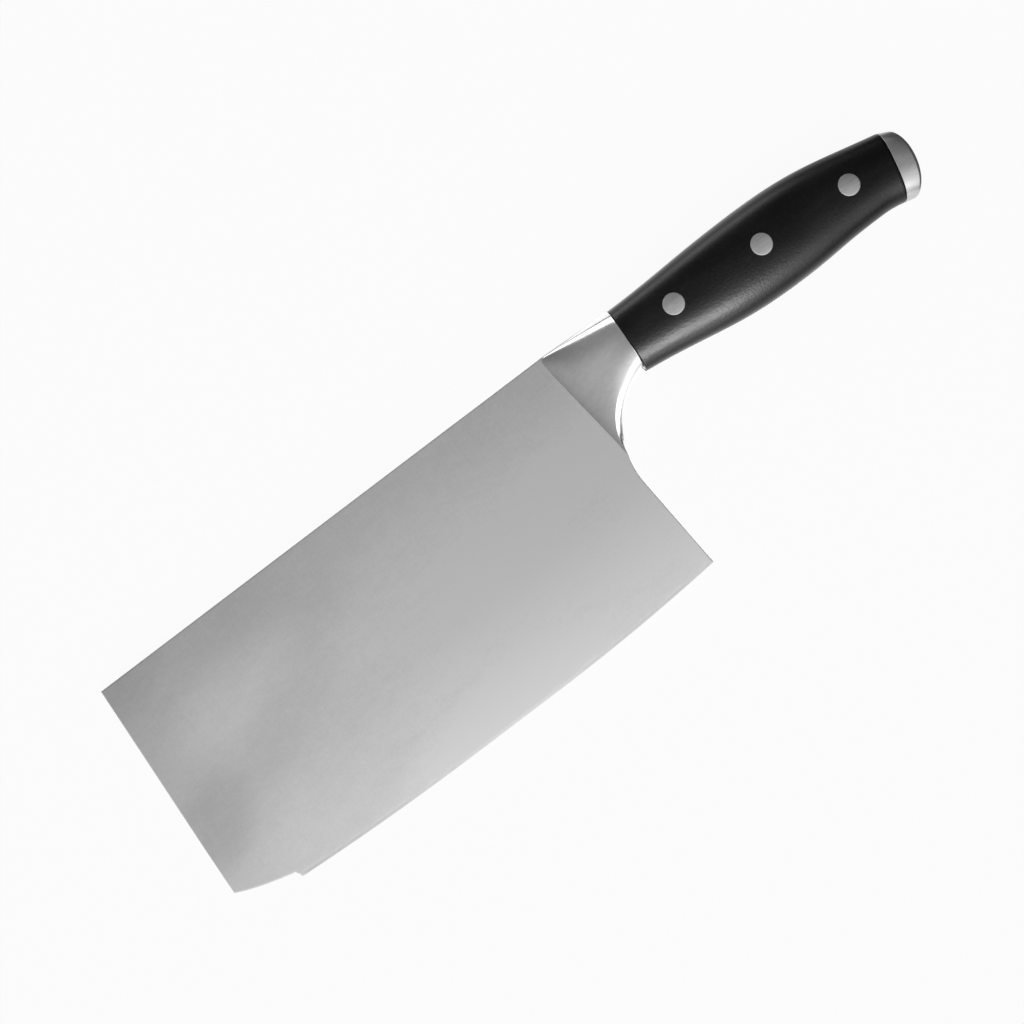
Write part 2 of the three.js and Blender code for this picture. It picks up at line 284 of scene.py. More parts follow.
@dataclass
class Outline:
    """The knife's outline in the plane of the blade, with leans and slopes in degrees."""

    spine_length: float = 0.1672
    blade_height: float = 0.0842
    front_lean: float = 3.8
    heel_lean: float = 3.9
    toe_rise: float = 0.0037
    toe_curve: float = 0.085
    heel_rise: float = 0.0028
    heel_curve: float = 0.062
    relief_length: float = 0.0203
    relief_rise: float = 0.007
    relief_step: float = 0.0023
    relief_step_run: float = 0.0011
    relief_bow: float = 0.0012
    relief_bow_at: float = 1 / 3
    choil_radius: float = 0.027
    bolster_length: float = 0.0255
    crease_lean: float = 6.5
    bolster_rear_height: float = 0.0202
    grip_length: float = 0.0978
    grip_front_drop: float = 0.001
    grip_front_height: float = 0.0217
    seam_lean: float = 3.1
    crest_from_seam: float = 0.046
    crest_rise: float = 0.00115
    belly_from_seam: float = 0.055
    belly_depth: float = 0.0294
    underside_slope: float = 7
    waist_from_cap: float = 0.011
    waist_depth: float = 0.0284
    grip_droop: float = 0.0063
    grip_rear_height: float = 0.0226
    rear_lean: float = 12.6

    def __post_init__(self) -> None:
        """Work out the corners and curves from the sizes."""
        self.spine_end = Vector((self.spine_length, 0))
        self._place_blade()
        self._place_bolster()
        self._place_grip()

    def _place_blade(self) -> None:
        """Work out the corners of the toe and the heel."""
        toe_y, heel_y = self.toe_rise - self.blade_height, self.heel_rise - self.blade_height
        self.toe_x = self.front_x(toe_y)
        self.heel = Vector((self.heel_x(heel_y), heel_y))
        relief_y = toe_y + self.relief_rise
        self.relief_front = Vector((self.front_x(relief_y), relief_y))
        step_x = self.toe_x + self.relief_length
        self.step_foot = Vector((step_x, self.edge_y(step_x)))
        self.step_head = self.step_foot + Vector((-self.relief_step_run, self.relief_step))

    def _place_bolster(self) -> None:
        """Work out the seam, the crease and the finger curve, which is round from the heel to the seam."""
        seam = down(-self.seam_lean)
        self.seam_top = self.spine_end + Vector((self.bolster_length, -self.grip_front_drop))
        self.bolster_foot = self.seam_top + seam * self.bolster_rear_height
        self.grip_foot = self.seam_top + seam * self.grip_front_height
        heel_line = down(self.heel_lean)
        start = self.spine_end + back(-self.heel_lean) * self.choil_radius
        reach = circle_crossings(start, heel_line, self.bolster_foot, self.choil_radius)[1]
        self.choil_centre = start + heel_line * reach
        self.heel_tangent = self.spine_end + heel_line * reach
        crease = down(self.crease_lean)
        reach = circle_crossings(self.spine_end, crease, self.choil_centre, self.choil_radius)[0]
        self.crease_foot = self.spine_end + crease * reach

    def _place_grip(self) -> None:
        """Work out the rear seam and the grip's back and underside."""
        self.rear_top = self.seam_top + Vector((self.grip_length, -self.grip_droop))
        self.rear_foot = self.rear_top + down(-self.rear_lean) * self.grip_rear_height
        crest = self.seam_top + Vector((self.crest_from_seam, self.crest_rise))
        self.grip_back = SmoothPath(self.seam_top, [(crest, 0, 0), (self.rear_top, 0, self.rear_lean)])
        belly = Vector((self.grip_foot.x + self.belly_from_seam, -self.belly_depth))
        waist = Vector((self.rear_foot.x - self.waist_from_cap, -self.waist_depth))
        under = [(belly, self.underside_slope, 0), (waist, 0, 0), (self.rear_foot, 0, self.rear_lean)]
        self.grip_under = SmoothPath(self.grip_foot, under)

    def front_x(self, y: float) -> float:
        """Place along the spine of the blade's front end at a height."""
        return y * math.tan(math.radians(self.front_lean))

    def heel_x(self, y: float) -> float:
        """Place along the spine of the straight heel at a height."""
        return self.spine_length - y * math.tan(math.radians(self.heel_lean))

    def edge_y(self, x: float) -> float:
        """Height of the edge, before the relief is cut into the toe.

        Args:
            x: Place along the spine.

        Returns:
            The edge's height there.
        """
        toe = max(0.0, 1 - (x - self.toe_x) / self.toe_curve)
        heel = max(0.0, 1 - (self.heel.x - x) / self.heel_curve)
        return self.toe_rise * toe**2 + self.heel_rise * heel**2 - self.blade_height

    def relief_y(self, x: float) -> float:
        """Height of the relief's curve, which bows down between the front end and the step.

        Args:
            x: Place along the spine.

        Returns:
            The curve's height there.
        """
        start, end = self.relief_front, self.step_head
        bow = lerp(start, end, self.relief_bow_at) - Vector((0, self.relief_bow))
        bend, run = start.x - 2 * bow.x + end.x, 2 * (bow.x - start.x)
        share = 2 * (x - start.x) / (run + math.sqrt(run**2 + 4 * bend * (x - start.x)))
        return start.y * (1 - share) ** 2 + bow.y * 2 * share * (1 - share) + end.y * share**2

    def under_y(self, x: float) -> float:
        """Height of the blade's lower outline: relief, step and edge.

        Args:
            x: Place along the spine.

        Returns:
            The outline's height there.
        """
        if x <= self.step_head.x:
            return self.relief_y(x)
        if x < self.step_foot.x:
            share = (x - self.step_head.x) / (self.step_foot.x - self.step_head.x)
            return lerp(self.step_head.y, self.step_foot.y, share)
        return self.edge_y(x)

    def rear_x(self, y: float) -> float:
        """Place along the spine of the blade's rear end: heel, finger curve and crease.

        Args:
            y: Height.

        Returns:
            The place of the rear end there.
        """
        if y < self.heel_tangent.y:
            return self.heel_x(y)
        if y < self.crease_foot.y:
            rise = y - self.choil_centre.y
            return self.choil_centre.x - math.sqrt(self.choil_radius**2 - rise**2)
        return self.spine_length - y * math.tan(math.radians(self.crease_lean))

    def choil(self, share: float, outside: float = 0.0) -> Vector:
        """Point of the finger curve under the bolster, or beside it.

        Args:
            share: Share of the way from the crease to the seam.
            outside: Distance from the curve into the metal.

        Returns:
            The point there.
        """
        offsets = [place - self.choil_centre for place in (self.crease_foot, self.bolster_foot)]
        first, last = (math.atan2(offset.y, offset.x) for offset in offsets)
        turn = lerp(first, last, share)
        return self.choil_centre + Vector((math.cos(turn), math.sin(turn))) * (self.choil_radius + outside)

    def from_choil(self, place: Vector) -> float:
        """Distance of a point from the finger curve."""
        return (place - self.choil_centre).length - self.choil_radius

    def ahead_of_crease(self, place: Vector) -> float:
        """Distance of a point from the crease, positive on the blade."""
        return (self.spine_end - place).dot(back(-self.crease_lean))


# Meshes


@dataclass
class MeshDraft:
    """Points and faces of a piece, collected in the knife's frame."""

    points: list[Vector] = field(default_factory=list)
    faces: list[tuple[int, ...]] = field(default_factory=list)

    def add(self, points: list[Vector]) -> list[int]:
        """Add a row of points.

        Args:
            points: The points.

        Returns:
            Their numbers.
        """
        first = len(self.points)
        self.points += points
        return list(range(first, len(self.points)))

    def bridge(self, one: list[int], two: list[int], closed: bool = True) -> None:
        """Join two rows of points with faces.

        Args:
            one: Numbers of the first row.
            two: Numbers of the second row.
            closed: Whether the rows are rings.
        """
        pairs = list(zip(one, two))
        following = pairs[1:] + pairs[:1] if closed else pairs[1:]
        self.faces += [(a, c, d, b) for (a, b), (c, d) in zip(pairs, following)]

    def loft(self, rings: list[list[Vector]]) -> None:
        """Add a closed body through rings of points, with a flat face at each end.

        Args:
            rings: The rings, each with as many points.
        """
        rows = [self.add(ring) for ring in rings]
        for one, two in zip(rows, rows[1:]):
            self.bridge(one, two)
        self.faces += [tuple(rows[0]), tuple(reversed(rows[-1]))]

    def mesh(self, name: str) -> bpy.types.Mesh:
        """Make the mesh, with its faces pointing out.

        Args:
            name: Name of the mesh.

        Returns:
            The mesh.
        """
        made = bpy.data.meshes.new(name)
        made.from_pydata([point.to_3d() for point in self.points], [], self.faces)
        point_out(made)
        return made


def point_out(mesh: bpy.types.Mesh, merge: float | None = None) -> None:
    """Point the faces of a mesh out.

    Args:
        mesh: The mesh.
        merge: Points nearer than this become one first, which closes seams and poles.
    """
    work = bmesh.new()
    work.from_mesh(mesh)
    if merge is not None:
        bmesh.ops.remove_doubles(work, verts=work.verts, dist=merge)
    bmesh.ops.recalc_face_normals(work, faces=work.faces)
    work.to_mesh(mesh)
    work.free()
    mesh.update()


def smooth(mesh: bpy.types.Mesh, crease_angle: float = CREASE_ANGLE) -> None:
    """Shade a mesh smoothly, apart from its sharper edges."""
    mesh.shade_smooth()
    mesh.set_sharp_from_angle(angle=math.radians(crease_angle))


def add_object(mesh: bpy.types.Mesh, name: str) -> bpy.types.Object:
    """Put a mesh into the scene as an object at the origin.

    Args:
        mesh: The mesh.
        name: Name of the object.

    Returns:
        The object.
    """
    made = bpy.data.objects.new(name, mesh)
    bpy.context.scene.collection.objects.link(made)
    return made


def settle(piece: bpy.types.Object, nodes: list[str]) -> None:
    """Let a finished piece ride on the knife and stand for its nodes.

    Args:
        piece: The piece.
        nodes: The nodes that it stands for.
    """
    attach(piece, BODY)
    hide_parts(*nodes)
    LOG.info("%s: %d faces for %s", piece.name, len(piece.data.polygons), ", ".join(nodes))


# Node trees


class Wire:
    """An output socket that stands in Python expressions, each of which adds its Math node."""

    def __init__(self, graph: "Graph", socket: bpy.types.NodeSocket) -> None:
        """Hold a socket of a graph."""
        self.graph = graph
        self.socket = socket

    def of(self, output: str) -> "Wire":
        """Another output of the same node."""
        return Wire(self.graph, self.graph.socket(self.socket.node.outputs, output))

    def __add__(self, other: "Wire | float") -> "Wire":
        """Sum."""
        return self.graph.math("ADD", self, other)

    __radd__ = __add__

    def __sub__(self, other: "Wire | float") -> "Wire":
        """Difference."""
        return self.graph.math("SUBTRACT", self, other)

    def __rsub__(self, other: float) -> "Wire":
        """Difference from a number."""
        return self.graph.math("SUBTRACT", other, self)

    def __mul__(self, other: "Wire | float") -> "Wire":
        """Product."""
        return self.graph.math("MULTIPLY", self, other)

    __rmul__ = __mul__

    def __truediv__(self, other: "Wire | float") -> "Wire":
        """Quotient."""
        return self.graph.math("DIVIDE", self, other)

    def __rtruediv__(self, other: float) -> "Wire":
        """Quotient of a number."""
        return self.graph.math("DIVIDE", other, self)

    def __pow__(self, power: "Wire | float") -> "Wire":
        """Power."""
        return self.graph.math("POWER", self, power)

    def __rpow__(self, base: float) -> "Wire":
        """Power of a number."""
        return self.graph.math("POWER", base, self)

    def rise(self, low: "Wire | float", high: "Wire | float", ramp: Ramp = Ramp.SMOOTH) -> "Wire":
        """Rise from 0 to 1 while the value passes between two limits.

        Args:
            low: Where the rise starts.
            high: Where it ends, which may also be the lower limit.
            ramp: How it rises.

        Returns:
            The height of the rise.
        """
        inputs = {"Value": self, "From Min": low, "From Max": high, "To Min": 0.0, "To Max": 1.0}
        settings = {"interpolation_type": ramp.value, "clamp": True}
        return self.graph.node("ShaderNodeMapRange", settings, inputs, "Result")


class Graph:
    """A node tree that is written as expressions."""

    def __init__(self, tree: bpy.types.NodeTree) -> None:
        """Hold a tree."""
        self.tree = tree

    @staticmethod
    def socket(sockets: bpy.types.bpy_prop_collection, key: str | int) -> bpy.types.NodeSocket:
        """Find a socket.

        Args:
            sockets: A node's inputs or outputs.
            key: The socket's number, identifier or name.

        Returns:
            The socket.
        """
        if isinstance(key, int):
            return sockets[key]
        known = [s for s in sockets if s.identifier == key]
        return (known or [s for s in sockets if s.name == key and s.enabled])[0]

    def place(self, kind: str, settings: dict, inputs: dict) -> bpy.types.Node:
        """Add a node.

        Args:
            kind: Type of the node.
            settings: Values of its properties, which are set first.
            inputs: Value, wire or list of wires for each of its sockets.

        Returns:
            The node.
        """
        made = self.tree.nodes.new(kind)
        for name, value in settings.items():
            setattr(made, name, value)
        for key, value in inputs.items():
            socket = self.socket(made.inputs, key)
            for one in value if isinstance(value, list) else [value]:
                if isinstance(one, Wire):
                    self.tree.links.new(one.socket, socket)
                else:
                    socket.default_value = one
        return made

    def node(self, kind: str, settings: dict, inputs: dict, output: str | int = 0) -> Wire:
        """Add a node, as place does, and take the wire from one of its outputs."""
        return Wire(self, self.socket(self.place(kind, settings, inputs).outputs, output))

    def math(self, operation: str, *values: Wire | float) -> Wire:
        """Add a Math node."""
        return self.node("ShaderNodeMath", {"operation": operation}, dict(enumerate(values)))

    def vector_math(self, operation: str, inputs: dict) -> Wire:
        """Add a Vector Math node."""
        return self.node("ShaderNodeVectorMath", {"operation": operation}, inputs, "Vector")

    def vector(self, x: Wire | float, y: Wire | float, z: Wire | float) -> Wire:
        """Join three numbers to a vector."""
        return self.node("ShaderNodeCombineXYZ", {}, {"X": x, "Y": y, "Z": z})

    def parts(self, vector: Wire) -> tuple[Wire, Wire, Wire]:
        """Split a vector into its three numbers."""
        x = self.node("ShaderNodeSeparateXYZ", {}, {"Vector": vector}, "X")
        return x, x.of("Y"), x.of("Z")


class Shading(Graph):
    """The node tree of one material."""

    def __init__(self, name: str) -> None:
        """Start a material with an empty tree.

        Args:
            name: Name of the material.
        """
        self.material = bpy.data.materials.new(name)
        self.material.use_nodes = True
        super().__init__(self.material.node_tree)
        self.tree.nodes.clear()

    def position(self, turn: float = 0.0, stretch: tuple[float, float, float] = (1.0, 1.0, 1.0)) -> Wire:
        """Read the place on the object, for a pattern that is turned and stretched.

        Args:
            turn: Turn of the pattern about z, in degrees.
            stretch: Factor along each axis of the turned pattern.

        Returns:
            The place.
        """
        place = self.node("ShaderNodeTexCoord", {}, {}, "Object")
        inputs = {"Vector": place, "Rotation": (0.0, 0.0, math.radians(turn)), "Scale": stretch}
        return self.node("ShaderNodeMapping", {"vector_type": "POINT"}, inputs)

    def attribute(self, held: Held) -> Wire:
        """Read what the mesh holds at its points."""
        return self.node("ShaderNodeAttribute", {"attribute_name": held.value}, {}, "Fac")

    def noise(self, place: Wire, size: float, detail: float = 2.0, seed: float = 0.0) -> Wire:
        """Add cloudy noise around 0.

        Args:
            place: Where the pattern is read.
            size: Size of its clouds, in metres.
            detail: How many finer layers it has.
            seed: Which pattern of its kind it is.

        Returns:
            The noise, from about -0.5 to 0.5.
        """
        inputs = {"Vector": place, "W": seed, "Scale": 1 / size, "Detail": detail, "Roughness": 0.5}
        return self.node("ShaderNodeTexNoise", {"noise_dimensions": "4D"}, inputs, "Fac") - 0.5

    def specks(self, spacing: float, radius: float) -> Wire:
        """Scatter small round specks.

        Args:
            spacing: Typical distance between specks.
            radius: Their radius, with a core of half of it.

        Returns:
            1 on a speck and 0 off it.
        """
        inputs = {"Vector": self.position(), "Scale": 1 / spacing, "Randomness": 1.0}
        distance = self.node("ShaderNodeTexVoronoi", {"feature": "F1"}, inputs, "Distance")
        return distance.rise(radius / spacing, radius / spacing / 2)

    def tone(self, dark: float, light: float, share: Wire) -> Wire:
        """Mix two greys.

        Args:
            dark: Grey at share 0.
            light: Grey at share 1.
            share: How much of the light one shows.

        Returns:
            The colour.
        """
        first, second = ((grey, grey, grey, 1) for grey in (dark, light))
        inputs = {"Factor_Float": share, "A_Color": first, "B_Color": second}
        settings = {"data_type": "RGBA", "clamp_factor": True}
        return self.node("ShaderNodeMix", settings, inputs, "Result_Color")

    def bump(self, height: Wire, depth: float) -> Wire:
        """Bend the normal by a pattern that rises by a depth in metres where it rises by 1."""
        return self.node("ShaderNodeBump", {}, {"Height": height, "Strength": 1.0, "Distance": depth})

    def finish(self, surface: Wire) -> bpy.types.Material:
        """Show a surface shader on the material."""
        self.place("ShaderNodeOutputMaterial", {}, {"Surface": surface})
        return self.material


class Modelling(Graph):
    """A Geometry Nodes tree with named inputs."""

    KINDS = {
        float: "NodeSocketFloat",
        int: "NodeSocketInt",
        Vector: "NodeSocketVector",
        bpy.types.Object: "NodeSocketObject",
        bpy.types.Material: "NodeSocketMaterial",
    }

    def __init__(self, name: str, values: dict[str, object]) -> None:
        """Start a tree.

        Args:
            name: Name of the tree.
            values: A value of each named input, after the geometry that comes in, for its type.
        """
        super().__init__(bpy.data.node_groups.new(name, "GeometryNodeTree"))
        self.tree.is_modifier = True
        face = self.tree.interface
        for way in ("INPUT", "OUTPUT"):
            face.new_socket("Geometry", in_out=way, socket_type="NodeSocketGeometry")
        self.sockets = {}
        for label, value in values.items():
            made = face.new_socket(label, in_out="INPUT", socket_type=self.KINDS[type(value)])
            self.sockets[label] = made.identifier
        self.source = self.place("NodeGroupInput", {}, {})

    def given(self, label: str) -> Wire:
        """Wire from a named input of the tree."""
        return Wire(self, self.source.outputs[label])

    def attribute(self, name: str) -> Wire:
        """Read a number that the mesh holds at its points."""
        settings = {"data_type": "FLOAT"}
        return self.node("GeometryNodeInputNamedAttribute", settings, {"Name": name}, "Attribute")

    def finish(self, geometry: Wire) -> None:
        """Close the tree: real meshes in the given material.

        Args:
            geometry: What the tree made.
        """
        real = self.node("GeometryNodeRealizeInstances", {}, {"Geometry": geometry})
        inputs = {"Geometry": real, "Material": self.given("Material")}
        dressed = self.node("GeometryNodeSetMaterial", {}, inputs)
        self.place("NodeGroupOutput", {}, {"Geometry": dressed})

    def apply(self, piece: bpy.types.Object, values: dict[str, object]) -> None:
        """Run the tree on an object and leave it with the plain mesh that comes out.

        Args:
            piece: The object, whose mesh goes in.
            values: Value of each named input.
        """
        modifier = piece.modifiers.new(self.tree.name, "NODES")
        modifier.node_group = self.tree
        for label, value in values.items():
            modifier[self.sockets[label]] = value
        evaluated = piece.evaluated_get(bpy.context.evaluated_depsgraph_get())
        mesh = bpy.data.meshes.new_from_object(evaluated)
        piece.modifiers.remove(modifier)
        piece.data = mesh


# Finishes


@dataclass(frozen=True)
class Fade:
    """A smooth change by some amount while a value passes from one limit to another."""

    start: float
    end: float
    amount: float = 1.0

    def at(self, value: Wire) -> Wire:
        """The change at a value."""
        return self.amount * value.rise(self.start, self.end)


@dataclass(frozen=True)
class PaintedPatch:
    """A soft oval patch painted lighter or darker on the satin, placed from the blade's front corner."""

    x: float
    y: float
    length: float
    width: float
    lift: float
    turn: float

    def at(self, x: Wire, y: Wire) -> Wire:
        """Read the patch.

        Args:
            x: Place along the spine.
            y: Height over the spine.

        Returns:
            How much lighter it is painted there.
        """
        ahead, up = x - self.x, y - self.y
        cos, sin = math.cos(math.radians(self.turn)), math.sin(math.radians(self.turn))
        along = (ahead * cos + up * sin) / self.length
        across = (up * cos - ahead * sin) / self.width
        return (along**2.0 + across**2.0).rise(1.0, 0.0) * self.lift


@dataclass(frozen=True)
class Pattern:
    """A noise on a finish, with what it adds to the light grey's share, the roughness and the relief."""

    name: str
    size: float
    shade: float = 0.0
    roughness: float = 0.0
    height: float = 0.0
    turn: float = 0.0
    stretch: tuple[float, float, float] = (1.0, 1.0, 1.0)
    detail: float = 2.0
    seed: float = 0.0

    def on(self, shading: Shading) -> Wire:
        """Add the pattern to a material, in a node that shows its name.

        Args:
            shading: The material's tree.

        Returns:
            The noise.
        """
        made = shading.noise(shading.position(self.turn, self.stretch), self.size, self.detail, self.seed)
        made.socket.node.label = self.name
        return made


@dataclass(frozen=True)
class Finish:
    """A grey finish with a fine relief, varied by patterns."""

    name: str
    dark: float
    light: float
    roughness: float
    relief: float
    patterns: tuple[Pattern, ...]
    middle: float = 0.5
    metallic: float = 1.0
    specular: float = 0.5

    def ground(self, shading: Shading) -> Wire | float:
        """Share of the light grey before the patterns."""
        return self.middle

    def material(self) -> bpy.types.Material:
        """Build the material.

        Returns:
            The material.
        """
        shading = Shading(self.name)
        noises = [(pattern, pattern.on(shading)) for pattern in self.patterns]
        share = sum((p.shade * noise for p, noise in noises if p.shade), self.ground(shading))
        roughness = sum((p.roughness * noise for p, noise in noises if p.roughness), self.roughness)
        height = sum(p.height * noise for p, noise in noises if p.height)
        inputs = {
            "Base Color": shading.tone(self.dark, self.light, share),
            "Metallic": self.metallic,
            "Roughness": roughness,
            "Specular IOR Level": self.specular,
            "Normal": shading.bump(height, self.relief),
        }
        return shading.finish(shading.node("ShaderNodeBsdfPrincipled", {}, inputs))


@dataclass(frozen=True)
class SatinSteel(Finish):
    """Blade steel in an even satin: soft clouds, hair lines, fine grain, specks and a ground bevel, with
    painted light and shade by place and painted patches.
    """

    name: str = "blade_satin_steel"
    dark: float = 0.38
    light: float = 0.92
    roughness: float = 0.42
    relief: float = 0.0000012
    middle: float = 0.60
    patterns: tuple[Pattern, ...] = (
        Pattern("drift", 0.018, 0.222, turn=-24, stretch=(0.5, 1.0, 1.0), detail=2.5, seed=3.1),
        Pattern("mottle", 0.0024, 0.1332, turn=-24, stretch=(0.5, 1.0, 1.0), seed=5.2),
        Pattern("hair_lines", 0.00022, 0.13, 0.08, 0.8, stretch=(1.0, 0.012, 1.0), detail=3.0, seed=1.0),
        Pattern("grain", 0.0009, 0.22, 0.06, 1.0, detail=3.0),
    )
    # Painted light towards the edge, and a little painted shade low on the grind
    painted_light_to_edge: Fade = Fade(0.086, 0.050, 0.275)
    painted_shade_low_on_grind: Fade = Fade(0.032, 0.008, -0.05)
    # Painted shade on the bevel, darker than the cheek above it
    painted_bevel_shade: Fade = Fade(0.00099, 0.00081, -0.26)
    # Painted light towards the heel and painted shade at the front end
    painted_light_to_heel: Fade = Fade(0.03, 0.12, 0.163)
    painted_shade_at_front: Fade = Fade(0.035, 0.0, -0.14)
    streak_width: float = 0.0011
    streak_fade: Fade = Fade(0.009, 0.0018, 0.22)
    speck_spacing: float = 0.012
    speck_radius: float = 0.00022
    speck_shade: float = 0.37
    # Painted patches: painted shade towards the front end and painted light over the edge, among other
    # lighter and darker patches
    clouds: tuple[PaintedPatch, ...] = (
        PaintedPatch(0.033, -0.025, 0.036, 0.014, 0.1184, 10),
        PaintedPatch(0.046, -0.036, 0.044, 0.013, -0.0888, 30),
        PaintedPatch(0.002, -0.054, 0.024, 0.015, -0.1776, 30),
        PaintedPatch(0.000, 0.000, 0.026, 0.016, -0.0888, 10),
        PaintedPatch(0.000, -0.040, 0.024, 0.040, -0.0444, 0),
        PaintedPatch(0.150, -0.047, 0.017, 0.014, -0.0444, 20),
        PaintedPatch(0.092, -0.080, 0.050, 0.015, 0.1628, 4),
        PaintedPatch(0.033, -0.067, 0.034, 0.013, 0.0444, 12),
    )

    def ground(self, shading: Shading) -> Wire:
        """Share of the light grey before the patterns, from the place on the blade, with its painted light
        and shade.

        Args:
            shading: The material's tree.

        Returns:
            The share.
        """
        height = shading.attribute(Held.ABOVE_EDGE)
        along, over = shading.attribute(Held.ALONG_SPINE), shading.attribute(Held.OVER_SPINE)
        ahead = shading.attribute(Held.AHEAD_OF_CREASE)
        streaks = shading.noise(shading.vector(ahead, 0.0, 0.0), self.streak_width)
        shades = [fade.at(height) for fade in (self.painted_light_to_edge, self.painted_shade_low_on_grind, self.painted_bevel_shade)]
        shades += [fade.at(along) for fade in (self.painted_light_to_heel, self.painted_shade_at_front)]
        shades += [cloud.at(along, over) for cloud in self.clouds]
        shades.append(self.streak_fade.at(ahead) * streaks)
        shades.append(self.speck_shade * shading.specks(self.speck_spacing, self.speck_radius))
        return sum(shades, self.middle)


@dataclass(frozen=True)
class PolishedSteel(Finish):
    """Bolster and cap steel: polished, with faint lines of the polishing belt, smears and a touch of haze."""

    name: str = "bolster_polished_steel"
    dark: float = 0.54
    light: float = 0.66
    roughness: float = 0.2
    relief: float = 0.0000006
    patterns: tuple[Pattern, ...] = (
        Pattern("haze", 0.011, 1.1, 0.07),
        Pattern("belt_lines", 0.00018, 0.5, 0.05, 1.0, stretch=(0.02, 1.0, 1.0)),
        Pattern("smears", 0.001, 1.0, stretch=(0.4, 1.0, 1.0), seed=2.0),
    )


@dataclass(frozen=True)
class GripPlastic(Finish):
    """Black moulded plastic: semi-matte, with the fine pebble of its mould and faint wear."""

    name: str = "grip_black_plastic"
    dark: float = 0.00005
    light: float = 0.0024
    roughness: float = 0.345
    relief: float = 0.00005
    middle: float = 0.17
    metallic: float = 0.0
    specular: float = 0.25
    patterns: tuple[Pattern, ...] = (
        Pattern("pebble", 0.0008, 1.4, 0.06, 1.0, detail=3.0),
        Pattern("wear", 0.009, 0.7, 0.24, stretch=(0.4, 1.0, 1.0), detail=3.0),
    )


@dataclass(frozen=True)
class RivetSteel(Finish):
    """Rivet steel, ground flush: short slanting belt lines over a satin ground."""

    name: str = "rivet_ground_steel"
    dark: float = 0.58
    light: float = 0.83
    roughness: float = 0.4
    relief: float = 0.0000012
    patterns: tuple[Pattern, ...] = (
        Pattern("belt_lines", 0.0004, 1.3, 0.15, 1.0, turn=38, stretch=(0.06, 1.0, 1.0)),
        Pattern("haze", 0.0025, 0.6),
    )


@dataclass(frozen=True)
class StudioFloor:
    """Pale seamless floor that shows nearly white and keeps a soft shadow. To the steel's reflections it
    shows painted light: a glow brighter than white, weaker by the butt and under the blade's front, and a
    painted dark patch beyond the butt.
    """

    dark: float = 0.82
    light: float = 0.90
    grain_size: float = 0.004
    glow: float = 0.94
    # Glow of the painted reflection, brighter than white, and the painted dark level beyond the butt
    painted_glow_level: float = 1.6
    painted_dark_level: float = 0.12
    painted_dark_fade: Fade = Fade(0.150, 0.165)
    handle_fade: Fade = Fade(0.105, 0.135)
    handle_share: float = 0.55
    blade_fade: Fade = Fade(0.005, -0.02, 0.7)

    def material(self) -> bpy.types.Material:
        """Build the material from its greys and the light that it shows of itself.

        Returns:
            The material.
        """
        shading = Shading("studio_floor")
        camera = shading.node("ShaderNodeLightPath", {}, {}, "Is Camera Ray")
        place = shading.position()
        colour = shading.tone(self.dark, self.light, 0.5 + shading.noise(place, self.grain_size))
        paper = {"Base Color": colour, "Roughness": 1.0, "Specular IOR Level": 0.0}
        matte = shading.node("ShaderNodeBsdfPrincipled", {}, paper)
        # Painted glow and painted dark, which only the steel's reflections show, beside plain white
        levels = (1.0, self.painted_glow_level, self.painted_dark_level)
        white, bright, dim = (shading.node("ShaderNodeEmission", {}, {"Strength": level}) for level in levels)
        along, _, _ = shading.parts(place)
        beyond = self.painted_dark_fade.at(along)
        # Where the steel's reflections show the painted glow: less of it by the butt and under the blade's
        # front
        near = 1 - self.handle_share * (self.handle_fade.at(along) - beyond) - self.blade_fade.at(along)
        seen = shading.node("ShaderNodeMixShader", {}, {0: camera * self.glow, 1: matte, 2: white})
        painted_reflection = shading.node("ShaderNodeMixShader", {}, {0: beyond, 1: bright, 2: dim})
        share = camera.of("Is Glossy Ray") * near
        return shading.finish(shading.node("ShaderNodeMixShader", {}, {0: share, 1: seen, 2: painted_reflection}))


# Sub-assemblies


@dataclass(frozen=True)
class ChoilBand:
    """Polished band that is ground along the finger curve, from the crease to the seam."""

    front_width: float = 0.0004
    rear_width: float = 0.0037
    widening: float = 0.45
    opening: float = 0.2
    least_width: float = 0.00001
    inner_slope: float = 20
    line_slope: float = 34
    line: float = 0.67
    edge: float = 0.0002

    def width(self, share: float) -> float:
        """Read the band's width, which opens from nothing at the crease.

        Args:
            share: Share of the way from the crease to the seam.

        Returns:
            The width there.
        """
        closed = max(0.0, 1 - share / self.opening)
        full = lerp(self.front_width, self.rear_width, share**self.widening)
        return max(self.least_width, full * (1 - closed**2))

    def fall(self, width: float, depth: float, gone: float) -> float:
        """Read the band's section: it steepens steadily to a line, then turns over.

        Args:
            width: The band's width.
            depth: Its whole depth.
            gone: Share of the width from its inner border.

        Returns:
            The depth below the inner border.
        """
        start, end = (math.tan(math.radians(slope)) for slope in (self.inner_slope, self.line_slope))
        growth = (end - start) / (2 * self.line)
        steady = min(depth, width * (start + growth))
        turned = max(0.0, (gone - self.line) / (1 - self.line))
        return steady * (start * gone + growth * gone**2) / (start + growth) + (depth - steady) * turned**2


@dataclass
class SubAssembly:
    """A part of the knife, drawn on its outline and put in its place."""

    outline: Outline
    place: KnifeFrame

    def lofted(
        self,
        name: str,
        rings: list[list[Vector]],
        dress: bpy.types.Material,
        crease_angle: float = CREASE_ANGLE,
    ) -> bpy.types.Object:
        """Make a closed piece through rings of points.

        Args:
            name: Name of the piece.
            rings: The rings, in the knife's frame.
            dress: Its material.
            crease_angle: Edges that turn by more degrees than this stay sharp.

        Returns:
            The piece.
        """
        draft = MeshDraft()
        draft.loft([[self.place.matrix @ point for point in ring] for ring in rings])
        piece = add_object(draft.mesh(name), name)
        smooth(piece.data, crease_angle)
        piece.data.materials.append(dress)
        return piece


